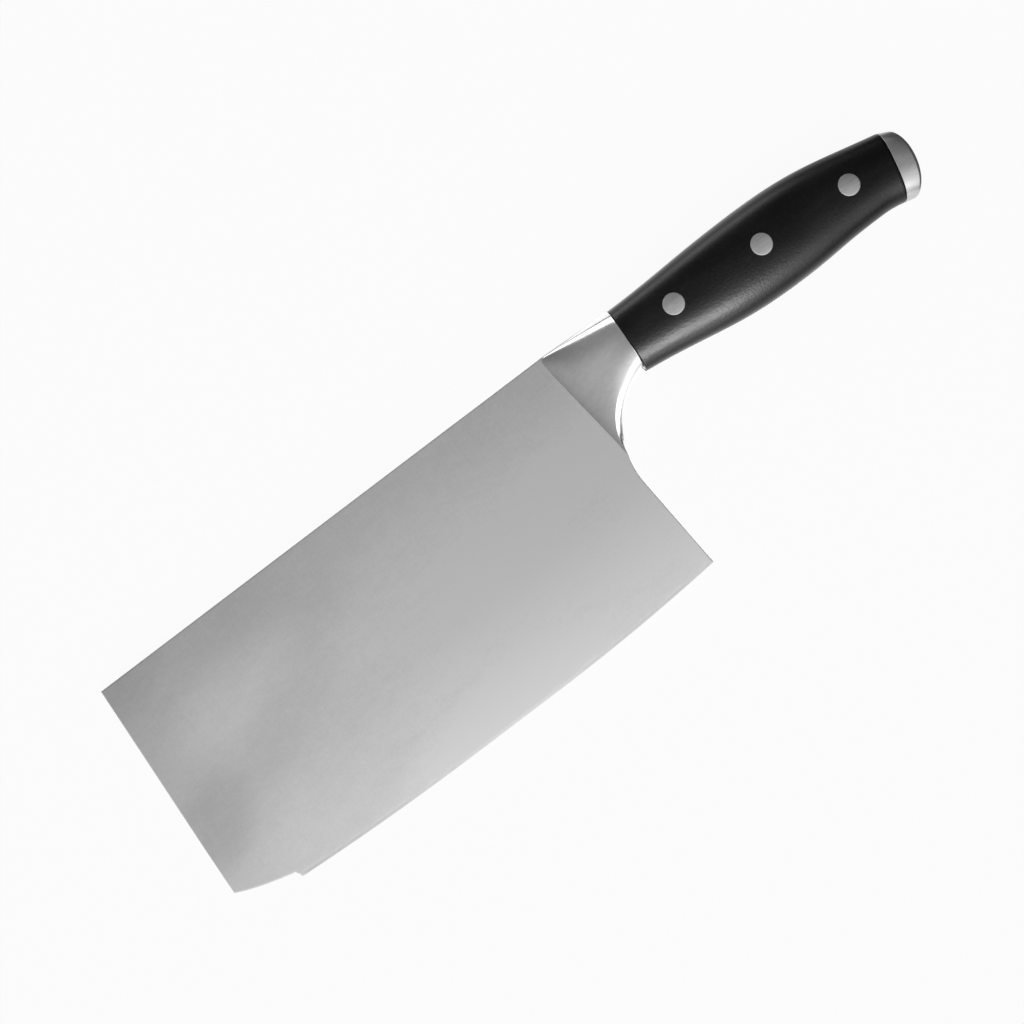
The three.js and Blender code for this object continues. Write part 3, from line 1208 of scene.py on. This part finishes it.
@dataclass
class PlateSheet(MeshDraft):
    """A plate as one flat sheet of columns, with what its points hold."""

    held: dict[Held, list[float]] = field(default_factory=lambda: {held: [] for held in Held})

    def column(self, outline: Outline, points: list[Vector], drops: list[float], tang: float) -> list[int]:
        """Add a column.

        Args:
            outline: The knife's outline.
            points: The column's points.
            drops: How far each lies below the flat of the plate.
            tang: 1 behind the crease and 0 on the blade.

        Returns:
            The points' numbers.
        """
        self.held[Held.EASED] += drops
        for place in points:
            self.held[Held.ABOVE_EDGE].append(max(0.0, place.y - outline.edge_y(place.x)))
            self.held[Held.TANG].append(tang)
            self.held[Held.AHEAD_OF_CREASE].append(outline.ahead_of_crease(place))
            self.held[Held.ALONG_SPINE].append(place.x)
            self.held[Held.OVER_SPINE].append(place.y)
        return self.add(points)


@dataclass
class Blade(SubAssembly):
    """Blade with its neck and full tang: one plate that a rule thins towards the edge."""

    finish: SatinSteel = SatinSteel()
    band: ChoilBand = ChoilBand()
    thickness: float = 0.0024
    tang_thickness: float = 0.002
    shoulder_thickness: float = 0.0004
    edge_thickness: float = 0.00012
    bevel_height: float = 0.0009
    grind_height: float = 0.034
    eased: float = 0.00025
    eased_lines: tuple[float, ...] = (0.0, 0.134, 0.5, 1.0, 2.0)
    low_heights: tuple[float, ...] = (0.0, 0.0003, 0.0006, 0.00082, 0.0009, 0.00098, 0.0014, 0.0024, 0.004)
    tang_start: float = 0.004
    relief_columns: int = 16
    edge_columns: int = 90
    grind_rows: int = 12
    cheek_rows: int = 16
    neck_rows: int = 14
    neck_columns: int = 10
    tang_columns: int = 40

    def insets(self) -> list[float]:
        """Distances from the outline at which the rounded border has its lines."""
        return [self.eased * share for share in self.eased_lines]

    def column_feet(self) -> list[Vector]:
        """Lay out the columns' feet along the blade's lower outline.

        Returns:
            The feet, from the front end to the heel.
        """
        line = self.outline
        *border, last = self.insets()
        xs = [line.relief_front.x + step for step in border]
        xs += spread(line.relief_front.x + last, line.step_head.x, self.relief_columns)
        xs += spread(line.step_foot.x, line.heel.x - last, self.edge_columns)
        xs += [line.heel.x - step for step in reversed(border)]
        return [Vector((x, line.under_y(x))) for x in xs]

    def row_heights(self, foot: Vector) -> list[float]:
        """Lay out the rows of one column.

        Args:
            foot: The column's foot on the lower outline.

        Returns:
            The rows' heights in the knife's frame, from the foot to the spine.
        """
        line, insets = self.outline, self.insets()
        edge = line.edge_y(foot.x)
        lows = list(self.low_heights)
        cut = foot.y - edge
        if cut > 0:
            spare = len(lows) - len(insets)
            lows = [cut + step for step in insets + spread(insets[-1], lows[-1], spare)[1:]]
        grind = spread(lows[-1], self.grind_height, self.grind_rows)[1:]
        top = edge + self.grind_height
        level = 1 - line.crease_foot.y / (line.edge_y(line.heel.x) + self.grind_height)
        shares = spread(0.0, level, self.cheek_rows)[1:]
        shares += spread(level, 1 + insets[-1] / top, self.neck_rows)[1:]
        shares += [1 + step / top for step in reversed(insets[:-1])]
        return [edge + height for height in lows + grind] + [top * (1 - share) for share in shares]

    def eased_drop(self, distance: float) -> float:
        """Depth of the rounded border below the cheek, at a distance from the outline."""
        gap = max(0.0, 1 - distance / self.eased)
        return self.eased * (1 - math.sqrt(1 - gap**2))

    def draw_blade(self, sheet: PlateSheet) -> list[int]:
        """Draw the blade, from its front end to the heel and the crease.

        Args:
            sheet: The sheet that it is drawn on.

        Returns:
            Numbers of the last column's points.
        """
        line, insets, feet = self.outline, self.insets(), self.column_feet()
        columns = []
        for index, foot in enumerate(feet):
            from_end = len(feet) - 1 - index
            low, high = line.front_x(foot.y) + insets[-1], line.rear_x(foot.y) - insets[-1]
            share = (foot.x - low) / (high - low)
            points, drops = [], []
            for y in self.row_heights(foot):
                left, right = line.front_x(y), line.rear_x(y)
                x = lerp(left + insets[-1], right - insets[-1], share)
                if index < len(insets) - 1:
                    x = left + insets[index]
                if from_end < len(insets) - 1:
                    x = right - insets[from_end]
                gaps = [x - left, -y]
                if y < line.crease_foot.y:
                    gaps.append(right - x)
                if foot.x <= line.step_head.x:
                    gaps.append(y - foot.y)
                points.append(Vector((x, y)))
                drops.append(self.eased_drop(min(gaps)))
            columns.append(sheet.column(line, points, drops, 0.0))
        for one, two in zip(columns, columns[1:]):
            sheet.bridge(one, two, closed=False)
        return columns[-1]

    def draw_tang(self, sheet: PlateSheet, before: list[int]) -> None:
        """Draw the neck and the tang behind the crease.

        Args:
            sheet: The sheet that they are drawn on.
            before: Numbers of the blade's last column.
        """
        line = self.outline
        crease_row = len(self.low_heights) + self.grind_rows + self.cheek_rows - 1
        heights = self.row_heights(self.column_feet()[-1])[crease_row:]
        before = before[crease_row:]
        spans = []
        for share in spread(0.0, 1.0, self.neck_columns)[1:]:
            foot = line.choil(share, self.band.width(share))
            spans.append((foot, lerp(line.spine_end, line.seam_top, share)))
        for share in spread(self.tang_start, 1.0, self.tang_columns):
            spans.append((line.grip_under.at(share), line.grip_back.at(share)))
        for foot, top in spans:
            points = [lerp(foot, top, 1 - y / heights[0]) for y in heights]
            column = sheet.column(line, points, [0.0] * len(points), 1.0)
            sheet.bridge(before, column, closed=False)
            before = column

    def grinding(self, values: dict[str, object]) -> Modelling:
        """Build the rule that gives the sheet its thickness.

        Args:
            values: The rule's named inputs.

        Returns:
            The node tree.
        """
        tree = Modelling("blade_grinding", values)
        blade, tang, shoulder, edge, bevel_top, grind_top, _ = (tree.given(label) for label in values)
        height, behind, eased = (tree.attribute(h.value) for h in (Held.ABOVE_EDGE, Held.TANG, Held.EASED))
        thinning = (1 - height.rise(bevel_top, grind_top, Ramp.STRAIGHT)) ** 2
        ground = blade + (shoulder - blade) * thinning
        bevelled = edge + (ground - edge) * height.rise(0.0, bevel_top, Ramp.STRAIGHT)
        half = 0.5 * (bevelled + (tang - bevelled) * behind) - eased
        half = tree.math("MAXIMUM", half, 0.5 * edge)
        sink = {"Geometry": tree.given("Geometry"), "Offset": tree.vector(0.0, 0.0, 0.0 - half)}
        below = tree.node("GeometryNodeSetPosition", {}, sink)
        grow = {"Mesh": below, "Offset Scale": 0.0, "Individual": False}
        wall = tree.node("GeometryNodeExtrudeMesh", {"mode": "FACES"}, grow)
        lift = {"Geometry": wall, "Selection": wall.of("Top"), "Offset": tree.vector(0.0, 0.0, 2 * half)}
        above = tree.node("GeometryNodeSetPosition", {}, lift)
        under = tree.node("GeometryNodeFlipFaces", {}, {"Mesh": below})
        both = tree.node("GeometryNodeJoinGeometry", {}, {"Geometry": [above, under]})
        merge = {"Geometry": both, "Distance": MERGE_DISTANCE}
        tree.finish(tree.node("GeometryNodeMergeByDistance", {}, merge))
        return tree

    def build(self) -> bpy.types.Object:
        """Make the plate and put it in its place.

        Returns:
            The plate.
        """
        sheet = PlateSheet()
        self.draw_tang(sheet, self.draw_blade(sheet))
        mesh = sheet.mesh("blade_and_tang")
        for held, numbers in sheet.held.items():
            mesh.attributes.new(held.value, "FLOAT", "POINT").data.foreach_set("value", numbers)
        piece = add_object(mesh, "blade_and_tang")
        values = {
            "Blade Thickness": self.thickness,
            "Tang Thickness": self.tang_thickness,
            "Shoulder Thickness": self.shoulder_thickness,
            "Edge Thickness": self.edge_thickness,
            "Bevel Height": self.bevel_height,
            "Grind Height": self.grind_height,
            "Material": self.finish.material(),
        }
        self.grinding(values).apply(piece, values)
        piece.data.transform(self.place.matrix)
        smooth(piece.data)
        settle(piece, ["blade_with_tang"])
        return piece


@dataclass
class Bolster(SubAssembly):
    """Bolster that swells from the crease to the seam, ground into one with the neck."""

    finish: PolishedSteel = PolishedSteel()
    band: ChoilBand = ChoilBand()
    front_thickness: float = 0.0024
    rear_thickness: float = 0.015
    spine_flare: float = 1.05
    choil_flare: float = 2.1
    front_squareness: float = 9
    back_squareness: float = 2.9
    back_easing: float = 8
    choil_squareness: float = 3.2
    choil_easing: float = 3
    foot_squareness: float = 40
    foot_easing: float = 40
    rear_rounding: float = 0.0002
    sunk: float = 0.00008
    sunk_ahead: float = 0.00032
    crease_angle: float = 12
    crowding: float = 1.5
    stations: int = 56
    face_steps: int = 72
    band_steps: int = 30

    def face(self, share: float, turn: float) -> tuple[float, float]:
        """Read the section's left half before the band is ground.

        Args:
            share: Share of the way from the crease to the seam.
            turn: Angle down from the back.

        Returns:
            The height, from 1 at the back to -1 at the foot, and the distance out of the blade's middle.
        """
        rest = 1 - share
        if turn < math.pi / 2:
            squareness = lerp(self.back_squareness, self.front_squareness, rest**self.back_easing)
        else:
            squareness = lerp(self.choil_squareness, self.front_squareness, rest**self.choil_easing)
            squareness += self.foot_squareness * rest**self.foot_easing
        up, out = squared_ring(math.cos(turn), math.sin(turn), squareness)
        swell = share ** lerp(self.spine_flare, self.choil_flare, (1 - up) / 2)
        return up, out * lerp(self.front_thickness, self.rear_thickness, swell) / 2

    def half_section(self, share: float, middle: Vector, rise: Vector) -> list[tuple[float, float]]:
        """Draw the left half of one section, from its back down the face and the band to its foot.

        Args:
            share: Share of the way from the crease to the seam.
            middle: Middle of the section.
            rise: From there to its back.

        Returns:
            The height and distance out of each point.
        """
        width = self.band.width(share)
        border = crossing(-1.0, 1.0, lambda up: self.outline.from_choil(middle + rise * up) < width)
        last = crossing(math.pi / 2, math.pi, lambda turn: self.face(share, turn)[0] > border)
        points = [self.face(share, turn) for turn in spread(0.0, last, self.face_steps)]
        brim = points[-1][1]
        for up in spread(border, -1.0, self.band_steps)[1:]:
            gone = 1 - max(0.0, self.outline.from_choil(middle + rise * up)) / width
            points.append((up, brim - self.band.fall(width, brim - self.band.edge, max(0.0, gone))))
        return points

    def ring(self, share: float, shift: Vector, inset: float = 0.0) -> list[Vector]:
        """Draw one section.

        Args:
            share: Share of the way from the crease to the seam.
            shift: How far the section is moved in the plane of the blade.
            inset: How far the section is drawn in.

        Returns:
            Its points.
        """
        top, foot = lerp(self.outline.spine_end, self.outline.seam_top, share), self.outline.choil(share)
        middle, rise = (top + foot) / 2, (top - foot) / 2
        shrink = 1 - inset / rise.length
        half = [
            (middle + rise * (up * shrink) + shift, max(0.0, out - inset))
            for up, out in self.half_section(share, middle, rise)
        ]
        points = [Vector((*place, out)) for place, out in half]
        return points + [Vector((*place, -out)) for place, out in reversed(half[1:])]

    def build(self) -> bpy.types.Object:
        """Make the bolster and put it in its place.

        Returns:
            The bolster.
        """
        still = Vector((0, 0))
        rings = [self.ring(0.0, Vector((-self.sunk_ahead, 0)), self.sunk)]
        rings += [self.ring(share**self.crowding, still) for share in spread(0.0, 1.0, self.stations)[:-1]]
        ahead = -back(self.outline.seam_lean)
        for inset, depth in reversed(quarter_round(self.rear_rounding)):
            rings.append(self.ring(1.0, ahead * depth, inset))
        piece = self.lofted("bolster", rings, self.finish.material(), self.crease_angle)
        settle(piece, ["bolster_left", "bolster_right"])
        return piece


@dataclass
class Grip(SubAssembly):
    """Two black scales, one on each side of the tang."""

    finish: GripPlastic = GripPlastic()
    front_thickness: float = 0.0154
    belly_thickness: float = 0.0192
    rear_thickness: float = 0.0188
    tang_thickness: float = 0.002
    squareness: float = 2.6
    end_rounding: float = 0.0003
    tang_chamfer: float = 0.00012
    seam_gap: float = 0.00006
    stations: int = 96
    arc_steps: int = 72
    inner_steps: int = 4

    def half_thickness(self, share: float) -> float:
        """Half the grip's thickness, on a smooth curve through its front, middle and rear.

        Args:
            share: Share of the grip's length.

        Returns:
            Half the thickness there.
        """
        halves = [self.front_thickness / 2, self.belly_thickness / 2, self.rear_thickness / 2]
        first = min(1, int(2 * share))
        part = 2 * share - first
        start, end = halves[first], halves[first + 1]
        leaving = (end - halves[max(0, first - 1)]) / 2
        arriving = (halves[min(2, first + 2)] - start) / 2
        curve = (2 * start - 2 * end + leaving + arriving) * part**3
        curve += (3 * end - 3 * start - 2 * leaving - arriving) * part**2
        return curve + leaving * part + start

    def ring(self, side: Side, share: float, shift: Vector, inset: float = 0.0) -> list[Vector]:
        """Draw one section of a scale.

        Args:
            side: Which scale.
            share: Share of the grip's length.
            shift: How far the section is moved in the plane of the blade.
            inset: How far the section is drawn in.

        Returns:
            Its points, round the outside and back along the tang.
        """
        top, foot = self.outline.grip_back.at(share), self.outline.grip_under.at(share)
        inward = (foot - top).normalized() * inset
        top, foot = top + inward + shift, foot - inward + shift
        middle, rise = (top + foot) / 2, (top - foot) / 2
        half = self.half_thickness(share) - inset
        inner = self.tang_thickness / 2
        level = (inner + self.tang_chamfer) / half
        start = math.atan2(level, (1 - level**self.squareness) ** (1 / self.squareness))
        arc = []
        for angle in spread(start, math.pi - start, self.arc_steps):
            up, out = squared_ring(math.cos(angle), math.sin(angle), self.squareness)
            arc.append((up, half * out))
        brim = arc[0][0] - self.tang_chamfer / rise.length
        section = [(brim, inner), *arc]
        section += [(up, inner) for up in spread(-brim, brim, self.inner_steps)[:-1]]
        return [Vector((*(middle + rise * up), side.value * out)) for up, out in section]

    def build(self) -> dict[Side, bpy.types.Object]:
        """Make both scales and put them in their place.

        Returns:
            The scales.
        """
        plastic = self.finish.material()
        still = Vector((0, 0))
        rounding = [(inset, self.seam_gap + depth) for inset, depth in quarter_round(self.end_rounding)]
        behind_seam, ahead_of_cap = back(self.outline.seam_lean), -back(self.outline.rear_lean)
        scales = {}
        for side in Side:
            rings = [self.ring(side, 0.0, behind_seam * depth, inset) for inset, depth in rounding]
            rings += [self.ring(side, share, still) for share in spread(0.0, 1.0, self.stations)[1:-1]]
            rings += [self.ring(side, 1.0, ahead_of_cap * depth, inset) for inset, depth in rounding[::-1]]
            name = side.name.lower()
            scales[side] = self.lofted(f"grip_scale_{name}", rings, plastic)
            settle(scales[side], [f"scale_{name}"])
        return scales


@dataclass
class EndCap(SubAssembly):
    """Steel cap on the butt, with a rounded rim and a domed end."""

    grip: Grip
    finish: PolishedSteel = PolishedSteel("cap_polished_steel", roughness=0.34)
    length: float = 0.0066
    rim_radius: float = 0.0012
    dome: float = 0.0009
    bow: float = 0.0025
    taper: float = 0.0011
    seam_gap: float = 0.00006
    seam_rounding: float = 0.0002
    rim_steps: int = 12
    dome_steps: int = 14
    ring_points: int = 160

    def ring(self, offset: float, inset: float) -> list[Vector]:
        """Draw one section.

        Args:
            offset: Distance behind the rear seam.
            inset: How far the section is drawn in.

        Returns:
            Its points.
        """
        line = self.outline
        behind, inward = back(line.rear_lean), down(-line.rear_lean)
        share = offset / self.length
        top = line.rear_top + inward * (inset + self.taper * share)
        foot = line.rear_foot - inward * inset
        middle, rise = (top + foot) / 2, (top - foot) / 2
        half = self.grip.rear_thickness / 2 - inset
        points = []
        for angle in spread(0.0, 2 * math.pi, self.ring_points)[:-1]:
            up, out = squared_ring(math.cos(angle), math.sin(angle), self.grip.squareness)
            height = up * rise.length / (line.grip_rear_height / 2)
            reach = offset - self.bow * share * height**2
            points.append(Vector((*(middle + rise * up + behind * reach), half * out)))
        return points

    def build(self) -> None:
        """Make the cap and put it in its place."""
        rounding = quarter_round(self.seam_rounding)
        rings = [self.ring(self.seam_gap + depth, inset) for inset, depth in rounding]
        half = self.grip.rear_thickness / 2
        slope = math.atan2(2 * self.dome, half - self.rim_radius)
        for turn in spread(0.0, math.pi / 2 - slope, self.rim_steps):
            offset = self.length - self.rim_radius * (1 - math.sin(turn))
            inset = self.rim_radius * (1 - math.cos(turn))
            rings.append(self.ring(offset, inset))
        rim_offset, rim_inset = offset, inset
        for share in spread(0.0, 1.0, self.dome_steps)[1:-1]:
            offset = rim_offset + self.dome * (1 - (1 - share) ** 2)
            rings.append(self.ring(offset, lerp(rim_inset, half, share)))
        piece = self.lofted("end_cap_shell", rings, self.finish.material())
        settle(piece, ["end_cap"])


@dataclass
class Rivets(SubAssembly):
    """Three two-part rivets, whose heads are ground to the grip's surface on both sides."""

    finish: RivetSteel = RivetSteel()
    from_seam: float = 0.0174
    pitch: float = 0.03175
    depth: float = 0.00965
    head_diameter: float = 0.0071
    head_depth: float = 0.0012
    rim_round: float = 0.00035
    crown: float = 0.00012
    proud: float = 0.0000525
    reach: float = 0.05
    head_rings: int = 31
    head_segments: int = 73
    face_end: float = 0.5
    rim_end: float = 0.75
    wall_end: float = 0.85
    names: tuple[str, ...] = ("front", "middle", "rear")

    def setting(self, values: dict[str, object]) -> Modelling:
        """Build the tree that turns the heads and sets them on a scale.

        Args:
            values: The tree's named inputs.

        Returns:
            The node tree.
        """
        tree = Modelling("rivet_setting", values)
        outward, reach = tree.given("Outward"), tree.given("Reach")
        count, first, step = (tree.given(label) for label in ("Count", "First", "Step"))
        line = {"Count": count, "Start Location": first, "Offset": step}
        places = tree.node("GeometryNodeMeshLine", {"mode": "OFFSET", "count_mode": "TOTAL"}, line)
        facing = tree.node("FunctionNodeAlignRotationToVector", {"axis": "Z"}, {"Vector": outward})
        heads = {"Points": places, "Instance": self.turned_head(tree), "Rotation": facing}
        row = tree.node("GeometryNodeInstanceOnPoints", {}, heads)
        loose = tree.node("GeometryNodeRealizeInstances", {}, {"Geometry": row})
        target = {"Object": tree.given("Scale")}
        scale = tree.node("GeometryNodeObjectInfo", {"transform_space": "ORIGINAL"}, target, "Geometry")
        here = tree.node("GeometryNodeInputPosition", {}, {})
        far = tree.vector_math("SCALE", {0: outward, "Scale": reach})
        ray = {
            "Target Geometry": scale,
            "Source Position": tree.vector_math("ADD", {0: here, 1: far}),
            "Ray Direction": tree.vector_math("SCALE", {0: outward, "Scale": -1.0}),
            "Ray Length": 2 * reach,
        }
        ground = tree.node("GeometryNodeRaycast", {}, ray, "Hit Position")
        lift = tree.vector_math("SCALE", {0: outward, "Scale": tree.attribute("lift")})
        seat = tree.vector_math("ADD", {0: ground, 1: lift})
        tree.finish(tree.node("GeometryNodeSetPosition", {}, {"Geometry": loose, "Position": seat}))
        return tree

    def turned_head(self, tree: Modelling) -> Wire:
        """Turn one head: a crowned face, a round rim, a wall and a floor, in that order from its centre.

        Args:
            tree: The tree that the head belongs to.

        Returns:
            The head's mesh, flat, with each point's height over the grip held as lift.
        """
        size = {"Size X": 1.0, "Size Y": 1.0, "Vertices X": self.head_rings, "Vertices Y": self.head_segments}
        grid = tree.node("GeometryNodeMeshGrid", {}, size, "Mesh")
        x, y, _ = tree.parts(tree.node("GeometryNodeInputPosition", {}, {}))
        along, turn = x + 0.5, (y + 0.5) * (2 * math.pi)
        ends = (0.0, self.face_end, self.rim_end, self.wall_end, 1.0)
        stretches = [along.rise(start, end, Ramp.STRAIGHT) for start, end in zip(ends, ends[1:])]
        face, rim, wall, floor = stretches
        radius, rounding = tree.given("Radius"), tree.given("Rim Round")
        bend = rim * (math.pi / 2)
        reach = ((radius - rounding) * face + rounding * tree.math("SINE", bend)) * (1 - floor)
        lift = tree.given("Crown") * (1 - face**2) - rounding * (1 - tree.math("COSINE", bend))
        lift = lift - tree.given("Depth") * wall + tree.given("Proud")
        spot = tree.vector(reach * tree.math("COSINE", turn), reach * tree.math("SINE", turn), 0.0)
        note = {"Geometry": grid, "Name": "lift", "Value": lift}
        noted = tree.node("GeometryNodeStoreNamedAttribute", {"data_type": "FLOAT", "domain": "POINT"}, note)
        return tree.node("GeometryNodeSetPosition", {}, {"Geometry": noted, "Position": spot})

    def build(self, scales: dict[Side, bpy.types.Object]) -> None:
        """Make the heads on each side and put them in their place.

        Args:
            scales: The scales that they are ground to.
        """
        along = back(self.outline.seam_lean)
        first = self.outline.seam_top + along * self.from_seam + down(-self.outline.seam_lean) * self.depth
        values = {
            "First": self.place.point(*first, 0.0),
            "Step": self.place.direction(*(along * self.pitch), 0.0),
            "Count": len(self.names),
            "Radius": self.head_diameter / 2,
            "Depth": self.head_depth,
            "Rim Round": self.rim_round,
            "Crown": self.crown,
            "Proud": self.proud,
            "Reach": self.reach,
            "Material": self.finish.material(),
        }
        for side, half in ((Side.LEFT, "pin"), (Side.RIGHT, "sleeve")):
            values["Scale"] = scales[side]
            values["Outward"] = self.place.direction(0.0, 0.0, side.value)
            name = f"rivet_{half}_heads"
            piece = add_object(bpy.data.meshes.new(name), name)
            self.setting(values).apply(piece, values)
            point_out(piece.data, MERGE_DISTANCE)
            smooth(piece.data)
            settle(piece, [f"{place}_rivet_{half}" for place in self.names])


# Studio


@dataclass(frozen=True)
class Softbox:
    """A rectangular light, by its place and what it faces."""

    name: str
    place: tuple[float, float, float]
    target: tuple[float, float, float]
    width: float
    height: float
    radiance: float

    def build(self, pieces: list[bpy.types.Object], reach: Reach) -> None:
        """Make the light.

        Args:
            pieces: The pieces that are named for it.
            reach: Whether it lights only these or spares them.
        """
        lamp = bpy.data.lights.new(self.name, "AREA")
        lamp.shape = "RECTANGLE"
        lamp.size, lamp.size_y = self.width, self.height
        lamp.energy = self.radiance * math.pi * self.width * self.height
        made = bpy.data.objects.new(self.name, lamp)
        made.location = self.place
        towards = Vector(self.target) - Vector(self.place)
        made.rotation_euler = towards.to_track_quat("-Z", "Y").to_euler()
        made.visible_camera = False
        bpy.context.scene.collection.objects.link(made)
        group = bpy.data.collections.new(f"{self.name}_{reach.name.lower()}")
        for piece in pieces:
            group.objects.link(piece)
        for entry in group.collection_objects:
            entry.light_linking.link_state = reach.value
        made.light_linking.receiver_collection = group


@dataclass(frozen=True)
class Sky:
    """Soft light all round: bright over the edge's side, dim towards the butt, dark close to the floor."""

    overhead: float = 0.2
    horizon: float = 1.1
    edge_side: Fade = Fade(0.15, -0.45, 0.85)
    spine_side: Fade = Fade(0.2, 0.6, 0.7)
    front_side: Fade = Fade(0.1, -0.6, 0.16)
    butt_side: Fade = Fade(0.3, 0.55)
    butt_off_edge: float = 0.85
    butt_off_overhead: float = 0.7
    butt_off_horizon: float = 0.95
    near_horizon: Fade = Fade(0.5, 0.34)
    floor_gap: Fade = Fade(0.17, 0.102, 0.8)

    def build(self) -> None:
        """Make the world, which the camera sees as white."""
        world = bpy.data.worlds.new("studio")
        world.use_nodes = True
        bpy.context.scene.world = world
        sky = Graph(world.node_tree)
        sky.tree.nodes.clear()
        x, y, z = sky.parts(sky.node("ShaderNodeTexCoord", {}, {}, "Generated"))
        butt = self.butt_side.at(x)
        edge = self.edge_side.at(y) * (1 - self.butt_off_edge * butt)
        overhead = (self.overhead + edge) * (1 - self.butt_off_overhead * butt) + self.front_side.at(x)
        low = self.near_horizon.at(z) * (1 - self.butt_off_horizon * butt) * (1 - self.spine_side.at(y))
        level = (overhead + (self.horizon - overhead) * low) * (1 - self.floor_gap.at(z))
        seen = sky.node("ShaderNodeLightPath", {}, {}, "Is Camera Ray")
        light = {"Color": level + (1 - level) * seen, "Strength": 1.0}
        sky.place("ShaderNodeOutputWorld", {}, {"Surface": sky.node("ShaderNodeBackground", {}, light)})


@dataclass
class Studio:
    """Floor, light and camera."""

    place: KnifeFrame
    floor: StudioFloor = StudioFloor()
    sky: Sky = Sky()
    floor_size: float = 6.0
    sensor_width: float = 36
    camera_distance: float = 0.575
    field_width: float = 0.3126
    centre: tuple[float, float] = (0.1329, -0.0321)
    roll: float = 37.1966
    key: Softbox = Softbox("key_softbox", (-0.22, -0.75, 0.65), (0.0, 0.0, 0.0), 0.80, 0.44, 0.7)
    handle_softboxes: tuple[Softbox, ...] = (
        Softbox("spine_strip", (-0.1, 0.85, 0.25), (0.0, 0.0, 0.02), 0.9, 0.36, 5.0),
        Softbox("edge_strip", (-0.35, -0.82, 0.25), (0.0, 0.0, 0.02), 0.8, 0.36, 6.5),
        Softbox("grip_softbox", (0.014, -0.160, 0.248), (0.014, 0.024, 0.012), 0.10, 0.14, 38.0),
        Softbox("grip_fill", (0.12, -0.43, 0.40), (0.07, 0.0, 0.012), 0.30, 0.42, 2.2),
    )
    bolster_softboxes: tuple[Softbox, ...] = (
        Softbox("back_softbox", (-0.05, 0.65, 0.33), (0.035, 0.03, 0.01), 0.9, 0.36, 2.4),
        Softbox("choil_softbox", (0.326, -0.302, 0.427), (0.035, 0.02, 0.01), 0.6, 0.34, 2.4),
        Softbox("choil_card", (0.434, -0.422, 0.07), (0.035, 0.02, 0.01), 0.6, 0.10, 1.1),
    )

    def build_floor(self) -> None:
        """Lay the floor under the knife."""
        half = self.floor_size / 2
        corners = [Vector((x, y)) for x, y in ((-half, -half), (half, -half), (half, half), (-half, half))]
        draft = MeshDraft()
        draft.faces.append(tuple(draft.add(corners)))
        floor = add_object(draft.mesh("studio_floor"), "studio_floor")
        floor.data.materials.append(self.floor.material())

    def build_camera(self) -> None:
        """Look square down on the blade, with the spine rising to the right."""
        lens = bpy.data.cameras.new("camera")
        lens.sensor_width = self.sensor_width
        lens.lens = self.sensor_width * self.camera_distance / self.field_width
        camera = bpy.data.objects.new("camera", lens)
        turn = self.place.matrix.to_3x3() @ Matrix.Rotation(math.radians(-self.roll), 3, "Z")
        spot = self.place.point(*self.centre, self.camera_distance)
        camera.matrix_world = Matrix.Translation(spot) @ turn.to_4x4()
        bpy.context.scene.collection.objects.link(camera)
        bpy.context.scene.camera = camera

    def build(
        self, blade: bpy.types.Object, bolster: bpy.types.Object, scales: dict[Side, bpy.types.Object]
    ) -> None:
        """Set up the studio.

        Args:
            blade: The blade, which the key softbox spares.
            bolster: The bolster, which has softboxes of its own.
            scales: The grip's scales, which have softboxes of their own.
        """
        bpy.context.scene.view_settings.view_transform = "Standard"
        self.build_camera()
        self.build_floor()
        self.sky.build()
        self.key.build([blade], Reach.SPARES)
        for softbox in self.handle_softboxes:
            softbox.build(list(scales.values()), Reach.LIGHTS_ONLY)
        for softbox in self.bolster_softboxes:
            softbox.build([bolster], Reach.LIGHTS_ONLY)


def main() -> None:
    """Build the knife and the studio, piece by piece."""
    logging.basicConfig(level=logging.INFO, format="%(name)s: %(message)s")
    place = KnifeFrame.from_record(frame["record"], CHEEK_MOUNT, CHEEK_POINT)
    outline = Outline()
    blade = Blade(outline, place).build()
    bolster = Bolster(outline, place).build()
    grip = Grip(outline, place)
    scales = grip.build()
    EndCap(outline, place, grip).build()
    Rivets(outline, place).build(scales)
    Studio(place).build(blade, bolster, scales)


if __name__ == "__main__":
    main()
